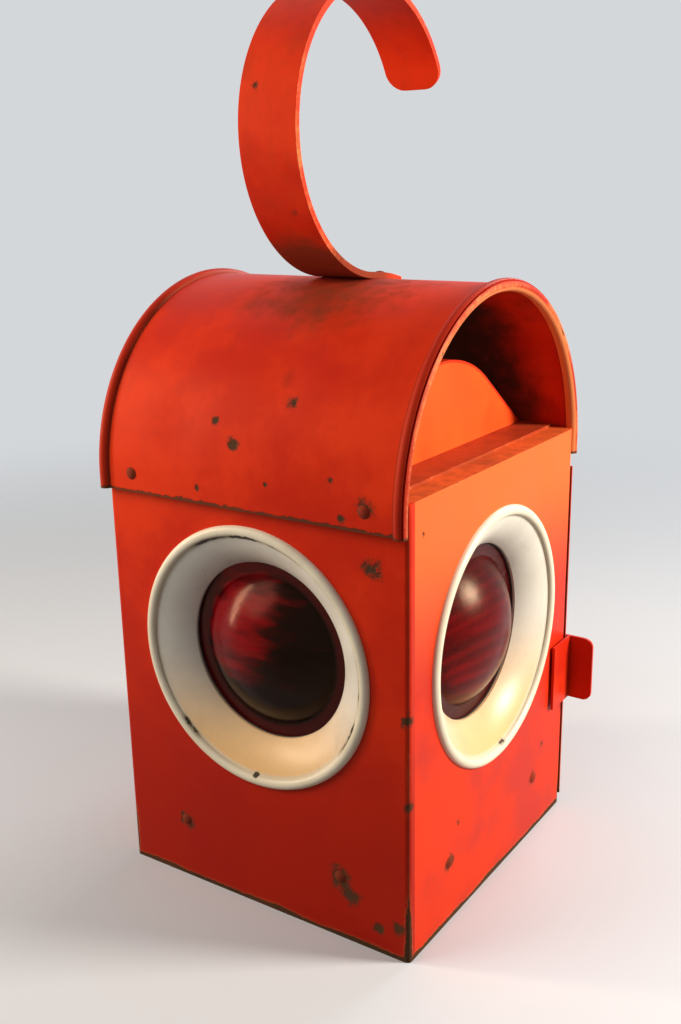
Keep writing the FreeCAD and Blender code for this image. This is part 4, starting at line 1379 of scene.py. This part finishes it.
@dataclass
class LensSet:
    """The enamelled dish and the ruby lens, made for the front and carried to each side."""

    enamel: WhiteEnamel
    glass: RubyGlass
    radius: float = 53.6 * MM
    lip: float = 4.4 * MM
    lip_rise: float = 2.0 * MM
    depth: float = 9.8 * MM
    bow: float = 1.2 * MM
    sheet: float = 1.0 * MM
    aperture: float = 36.5 * MM
    collar: float = 39.4 * MM
    collar_end: float = 19.0 * MM
    flange: float = 39.0 * MM
    flange_front: float = 11.6 * MM
    flange_back: float = 15.6 * MM
    dome: float = 31.0 * MM
    dome_rise: float = 13.0 * MM
    rib_pitch: float = 2.6 * MM
    rib_depth: float = 0.8 * MM
    rib_margin: float = 1.5 * MM
    turns: int = 144
    crease: float = math.radians(35)
    glass_crease: float = math.radians(20)
    face: float = field(init=False)
    height: float = field(init=False)

    def __post_init__(self) -> None:
        """Read the front lens's place from the frame."""
        self.face = corners("front_panel")[0].y
        self.height = self.glass.centre_height

    def at(self, radius: float, rise: float) -> Vector:
        """A point of a turned outline: a radius, and a rise out of the front face."""
        return Vector((radius, self.face - rise, self.height))

    def bowed(self, start: Vector, end: Vector, bow: float, steps: int) -> list[Vector]:
        """Points between two places, bowed to the side by a shallow parabola.

        Args:
            start: The first point.
            end: The last point.
            bow: How far the middle is bowed.
            steps: The number of spans.

        Returns:
            One more point than spans.
        """
        along = end - start
        side = Vector((along.y, -along.x, 0)).normalized() * bow
        shares = [index / steps for index in range(steps + 1)]
        return [start + along * share + side * (4 * share * (1 - share)) for share in shares]

    def dish_outline(self) -> list[Vector]:
        """The dish's section: rolled lip, bowed wall, lens seat and collar.

        Returns:
            The outline's points.
        """
        lip_inner = self.radius - self.lip
        lip_middle = self.at(self.radius - self.lip / 2, 0)
        out = Vector((self.lip / 2, 0, 0))
        up = Vector((0, -self.lip_rise, 0))
        lip = arc(lip_middle, out, up, 0, math.pi, 12)
        rim = self.at(lip_inner, 0)
        wall = self.bowed(rim, self.at(self.aperture, -self.depth), -self.bow, 14)
        back = self.bowed(self.at(self.collar + self.sheet, -self.depth + self.sheet),
                          self.at(lip_inner + 0.8 * self.sheet, 0), self.bow, 12)
        seat = [
            self.at(self.aperture, -self.depth - self.sheet),
            self.at(self.collar, -self.depth - self.sheet),
            self.at(self.collar, -self.collar_end),
            self.at(self.collar + self.sheet, -self.collar_end),
            self.at(self.collar + self.sheet, -self.depth - 0.6 * self.sheet),
        ]
        return lip + wall[1:] + seat + back[1:]

    def lens_outline(self) -> list[Vector]:
        """The lens's section: a flat back, a flange and a domed front.

        Returns:
            The outline's points.
        """
        ball = (self.dome ** 2 + self.dome_rise ** 2) / (2 * self.dome_rise)
        spread = math.asin(self.dome / ball)
        centre = self.at(0, self.dome_rise - ball - self.flange_front)
        cap = arc(centre, Vector((0, -ball, 0)), Vector((ball, 0, 0)), spread, 0, 26)
        edge = 0.5 * MM
        return [
            self.at(0, -self.flange_back),
            self.at(self.flange, -self.flange_back),
            self.at(self.flange, -self.flange_front - edge),
            self.at(self.flange - edge, -self.flange_front),
        ] + cap

    def turn_up(self, name: str, outline: list[Vector]) -> Bench:
        """Turn an outline once about the front lens's axis.

        Args:
            name: The piece's name.
            outline: Its closed section.

        Returns:
            The bench with the turned mesh, still in edit mode.
        """
        bench = Bench(name)
        bench.trace(outline)
        bench.spin(2 * math.pi, self.turns, self.at(0, 0), Vector((0, -1, 0)))
        bench.weld()
        bpy.ops.mesh.delete_loose()
        return bench

    def rib_back(self, bench: Bench) -> None:
        """Press level ribs into the flat back of the lens.

        Args:
            bench: The bench with the turned lens.
        """
        back = self.face + self.flange_back
        count = int(self.flange / self.rib_pitch)
        levels = [self.height + index * self.rib_pitch for index in range(-count, count + 1)]
        for level in levels:
            bench.select(lambda at: abs(at.y - back) < CLOSE)
            bpy.ops.mesh.bisect(plane_co=(0, back, level), plane_no=(0, 0, 1))
        inside = self.flange - self.rib_margin
        bench.select(lambda at: abs(at.y - back) < CLOSE
                     and math.hypot(at.x, at.z - self.height) < inside
                     and any(abs(at.z - level) < CLOSE for level in levels[::2]))
        bpy.ops.transform.translate(value=(0, -self.rib_depth, 0))

    def build(self) -> list[tuple[bpy.types.Object, Side, Slot]]:
        """Press the dish and cast the lens, then carry both to every side.

        Returns:
            Each piece with its side and its slot.
        """
        dish = self.turn_up("enamel_dish_front", self.dish_outline()).finish(self.crease)
        bench = self.turn_up("ruby_lens_front", self.lens_outline())
        self.rib_back(bench)
        lens = bench.finish(self.glass_crease)
        made = []
        for first, node, slot in ((dish, "dish", Slot.ENAMEL), (lens, "lens", Slot.GLASS)):
            pieces = {Side.FRONT: first}
            for side in (Side.LEFT, Side.RIGHT):
                name = first.name.replace(Side.FRONT.value, side.value)
                pieces[side] = turned_copy(first, name, side.turn)
            for side, piece in pieces.items():
                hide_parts(f"{node}_{side.value}")
                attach(piece, "house")
                made.append((piece, side, slot))
        return made

    def dress(self, pieces: list[tuple[bpy.types.Object, Side, Slot]]) -> None:
        """Enamel the dishes and colour the lenses.

        Args:
            pieces: Each piece with its side and its slot.
        """
        for piece, side, slot in pieces:
            finish = self.glass if slot is Slot.GLASS else self.enamel
            wear_material(piece, finish.material(side))


@dataclass
class House:
    """The sheet-steel house, its roof, its door and their small fittings, dressed as they were packed."""

    paint: OrangePaint
    chips: tuple = (
        Chip(55.1, -70, 155.4, 3.8), Chip(-39.0, -70, 27.0, 3.6), Chip(39.6, -70, 26.4, 5.2),
        Chip(44.0, -70, 20.5, 3.8), Chip(56.5, -70, 10.5, 2.4), Chip(66.0, -70, 13.6, 2.8),
        Chip(69.6, -70, 66.0, 2.4), Chip(69.6, -70, 101.0, 2.8), Chip(70, -39, 27, 3.4),
        Chip(70, 39, 27, 3.2), Chip(70, 48, 40, 1.4), Chip(-70, 38, 30, 3.2), Chip(-70, -45, 24, 2.6),
        Chip(-70, 20, 168, 2.4), Chip(70, -60, 168, 1.4),
    )
    door_chips: tuple = (Chip(30, 71.3, 120, 3.4), Chip(-20, 71.3, 20, 3.0), Chip(55, 71.3, 90, 2.4))

    def box_wear(self, node: str, **worn: object) -> PaintWear:
        """Wear a piece along the edges of its own box."""
        low, high = corners(node)
        return PaintWear(node, low, high, **worn)

    def wall_finishes(self) -> dict[str, bpy.types.Material]:
        """Mix the finishes of the walls, which wear as one box.

        Returns:
            The materials by node name.
        """
        low = corners("front_panel")[0]
        high = Vector((-low.x, -low.y, corners("right_panel")[1].z))
        shell = PaintWear("house", low, high, bare=-0.12, rubbed=0.2, reach=3.0 * MM, soot=Soot.HOUSE,
                          grime=0.02, hem=1.6 * MM, foot=0.9, shelf=high.z, chips=self.chips)
        # painted shade: the front panel turns a deeper red towards its bottom
        shaded_front = replace(shell, name="front_panel", deep=(150 * MM, 35 * MM))
        # painted highlight: the right panel turns paler towards its top
        highlighted_right = replace(shell, name="right_panel", painted_highlight=(105 * MM, 170 * MM))
        plain = ("left_panel", "rear_head", "rear_sill", "floor_pan")
        made = dict.fromkeys(plain, self.paint.material(shell))
        made["front_panel"] = self.paint.material(shaded_front)
        made["right_panel"] = self.paint.material(highlighted_right)
        return made

    def finishes(self) -> dict[str, bpy.types.Material]:
        """Mix each painted node's finish.

        Returns:
            The materials by node name.
        """
        made = self.wall_finishes()
        door = self.box_wear("rear_door", bare=-0.1, rubbed=0.5, soot=Soot.DOOR, grime=0.05, hem=2.0 * MM,
                             foot=0.3, chips=self.door_chips)
        made["rear_door"] = self.paint.material(door)
        # partly painted shade: the top deck takes a darker brown-red paint, with dirt over it
        dirty_shaded_deck = replace(self.paint, orange=(0.50, 0.070, 0.020, 1), red=(0.32, 0.030, 0.011, 1))
        made["top_deck"] = dirty_shaded_deck.material(self.box_wear("top_deck", bare=-0.2, rubbed=0.9, grime=0.25))
        roof = self.box_wear("inner_roof", bare=-0.4, soot=Soot.ROOF, grime=0.15)
        made["inner_roof"] = self.paint.material(roof)
        # painted light: both roof ends take a brighter, more orange paint for the light that falls on them
        lit_end_paint = replace(self.paint, orange=(0.92, 0.11, 0.016, 1), red=(0.84, 0.07, 0.012, 1))
        ends = lit_end_paint.material(self.box_wear("roof_end_right", bare=-0.5))
        made.update(dict.fromkeys(("roof_end_right", "roof_end_left"), ends))
        for node in ("latch_base", "latch_finger", "body_leaf_lower", "body_leaf_upper", "door_leaf_lower",
                     "door_leaf_upper", "hook_backing"):
            made[node] = self.paint.material(self.box_wear(node, bare=-0.2, reach=1.2 * MM, grime=0.06))
        rusted = replace(self.paint, dirt=self.paint.bare)
        rivets = rusted.material(PaintWear("rivets", Vector((-FAR,) * 3), Vector((FAR,) * 3), grime=0.55))
        made.update({node: rivets for node in frame["nodes"] if "rivets" in node})
        return made

    def dress(self) -> None:
        """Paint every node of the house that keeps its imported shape."""
        for node, material in self.finishes().items():
            wear_material(frame["nodes"][node], material)
            LOG.info("painted %s", node)


@dataclass
class Works:
    """The fount, the burner and the small metal and rubber pieces."""

    effects: Effects

    def dress(self) -> None:
        """Finish every node of the record's bare-metal, rubber and cotton slots."""
        metals = (
            AgedMetal(self.effects, Slot.BRASS.value, bright=(0.62, 0.40, 0.13, 1),
                      tarnish=(0.15, 0.085, 0.030, 1), polish=0.30, tarnished=0.12),
            AgedMetal(self.effects, Slot.TIN.value, bright=(0.46, 0.45, 0.42, 1),
                      tarnish=(0.14, 0.075, 0.040, 1), polish=0.38, tarnished=0.12),
            AgedMetal(self.effects, Slot.STEEL.value, bright=(0.33, 0.32, 0.31, 1),
                      tarnish=(0.10, 0.055, 0.032, 1), polish=0.36, tarnished=0.10),
        )
        finishes = {Slot(metal.name): metal.material() for metal in metals}
        finishes[Slot.RUBBER] = SealRubber(self.effects).material()
        finishes[Slot.COTTON] = WickCotton(self.effects, corners("wick")[1].z).material()
        for node, slot in node_slots().items():
            if slot in finishes:
                wear_material(frame["nodes"][node], finishes[slot])
                LOG.info("finished %s in %s", node, slot.value)


def node_slots() -> dict[str, Slot]:
    """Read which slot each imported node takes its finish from.

    Returns:
        The slots by node name.
    """
    return {row["node"]: Slot(row["material_slot"]) for row in frame["record"]["subparts"]}


@dataclass(frozen=True)
class View:
    """The photograph's camera: its place, its turn and its focal length in pixels."""

    place: tuple = (0.25484, -0.38472, 0.28526)
    azimuth: float = math.radians(34.03)
    elevation: float = math.radians(16.25)
    roll: float = math.radians(-1.056)
    focal: float = 1133.34
    frame_height: int = 1024
    sensor: float = 36.0
    near: float = 0.01

    def build(self) -> None:
        """Set up the camera."""
        data = bpy.data.cameras.new("view")
        data.sensor_width = self.sensor
        data.lens = self.focal * self.sensor / self.frame_height
        data.clip_start = self.near
        camera = bpy.data.objects.new("view", data)
        level = math.cos(self.elevation)
        ahead = -math.cos(self.azimuth) * level
        back = Vector((math.sin(self.azimuth) * level, ahead, math.sin(self.elevation)))
        right = (-back).cross(Vector((0, 0, 1))).normalized()
        up = right.cross(-back)
        tilted = right * math.cos(self.roll) + up * math.sin(self.roll)
        upright = up * math.cos(self.roll) - right * math.sin(self.roll)
        turn = Matrix((tilted, upright, back)).transposed().to_4x4()
        camera.matrix_world = Matrix.Translation(self.place) @ turn
        bpy.context.collection.objects.link(camera)
        bpy.context.scene.camera = camera


@dataclass(frozen=True)
class Lamp:
    """A soft oval light aimed at a place, which may be kept out of mirrored surfaces."""

    name: str
    place: tuple
    aim: tuple
    size: tuple
    power: float
    colour: tuple = (1, 1, 1)
    mirrored: bool = True

    def build(self) -> None:
        """Hang the light."""
        data = bpy.data.lights.new(self.name, "AREA")
        data.shape = "ELLIPSE"
        data.size, data.size_y = self.size
        data.energy = self.power
        data.color = self.colour
        lamp = bpy.data.objects.new(self.name, data)
        lamp.visible_glossy = self.mirrored
        way = Vector(self.aim) - Vector(self.place)
        turn = way.to_track_quat("-Z", "Y").to_matrix().to_4x4()
        lamp.matrix_world = Matrix.Translation(self.place) @ turn
        bpy.context.collection.objects.link(lamp)


@dataclass(frozen=True)
class Studio:
    """A pale floor that fades into a pale surround, and soft lamps."""

    floor: tuple = (0.62, 0.65, 0.70, 1)
    bounce: tuple = (0.16, 0.16, 0.16, 1)
    surround: tuple = (0.66, 0.68, 0.70, 1)
    fill: float = 0.18
    span: float = 7.0
    fade: tuple = (0.22, 0.95)
    dullness: float = 0.8
    sheen: float = 0.1
    sides: int = 96

    def build(self) -> None:
        """Lay the floor and hang the lamps."""
        self.lay_floor()
        self.light_surround()
        lamps = (
            Lamp("key", (0.62, 0.25, 0.40), (0.04, 0, 0.17), (0.20, 0.20), 7.6, (1.0, 0.91, 0.79)),
            Lamp("left", (-0.30, -0.38, 0.42), (-0.05, -0.07, 0.20), (0.36, 0.36), 1.8, (1.0, 0.94, 0.87),
                 mirrored=False),
            Lamp("side", (-0.80, -0.42, 0.40), (0, 0, 0.15), (0.14, 0.70), 4.6, (1.0, 0.78, 0.54)),
            Lamp("back", (0.1, 1.0, 0.7), (0, 0, 0.15), (0.6, 0.6), 5.0),
        )
        for lamp in lamps:
            lamp.build()

    def lay_floor(self) -> None:
        """Model the floor as a flat disc, cut fine enough to stay round."""
        bpy.ops.object.select_all(action="DESELECT")
        bpy.ops.mesh.primitive_circle_add(vertices=self.sides, radius=self.span / 2, fill_type="NGON")
        floor = bpy.context.object
        floor.name = "studio_floor"
        bpy.ops.object.mode_set(mode="EDIT")
        bpy.ops.mesh.select_mode(type="FACE")
        bpy.ops.mesh.select_all(action="SELECT")
        bpy.ops.mesh.inset(thickness=self.span / 4)
        bpy.ops.object.mode_set(mode="OBJECT")
        wear_material(floor, self.floor_finish())

    def floor_finish(self) -> bpy.types.Material:
        """Paint the floor pale near the lamp and let it fade out into the surround.

        Returns:
            The material.
        """
        graph = Surface("studio_floor")
        graph.give("Base Color", graph.blend(self.seen(graph), self.bounce, self.floor))
        graph.give("Roughness", self.dullness)
        graph.give("Specular IOR Level", self.sheen)
        away = graph.vector("LENGTH", graph.place).outputs["Value"]
        graph.give("Alpha", graph.rise(away, self.fade[0], self.fade[1], 1.0, 0.0))
        return graph.material

    def seen(self, graph: Graph) -> Socket:
        """Tell the rays that show the floor and the surround: straight, mirrored or through glass.

        Args:
            graph: The graph of the floor or the surround.

        Returns:
            One on those rays.
        """
        path = graph.node("LightPath", {}).outputs
        mirrored = graph.most(path["Is Glossy Ray"], path["Is Transmission Ray"])
        return graph.most(path["Is Camera Ray"], mirrored)

    def light_surround(self) -> None:
        """Show a pale surround to the camera and light the scene faintly from all round."""
        world = bpy.data.worlds.new("surround")
        world.use_nodes = True
        graph = Graph(world.node_tree)
        sky = world.node_tree.nodes["Background"]
        graph.feed(sky.inputs["Color"], self.surround)
        graph.feed(sky.inputs["Strength"], graph.most(self.seen(graph), self.fill))
        bpy.context.scene.world = world


def main() -> None:
    """Build and dress the lamp, piece by piece."""
    logging.basicConfig(level=logging.INFO, format="%(name)s: %(message)s")
    bpy.context.scene.view_settings.view_transform = "Standard"
    effects = Effects()
    paint = OrangePaint(effects)
    View().build()
    Studio().build()
    hood = Hood(paint)
    rolled = hood.build()
    hood.dress(rolled)
    LOG.info("built %s", rolled.name)
    hook = Hook(paint, hood)
    strap = hook.build()
    hook.dress(strap)
    LOG.info("built %s", strap.name)
    dish_low, dish_high = corners("dish_front")
    lip_inner = (dish_high.x - dish_low.x) / 2 - LensSet.lip
    lens_height = (dish_low.z + dish_high.z) / 2
    enamel = WhiteEnamel(effects, lip_inner, lens_height)
    lenses = LensSet(enamel, RubyGlass(effects, LensSet.dome, lens_height))
    pieces = lenses.build()
    lenses.dress(pieces)
    for piece, side, slot in pieces:
        LOG.info("built %s for the %s in %s", piece.name, side.value, slot.value)
    House(paint).dress()
    Works(effects).dress()


if __name__ == "__main__":
    main()
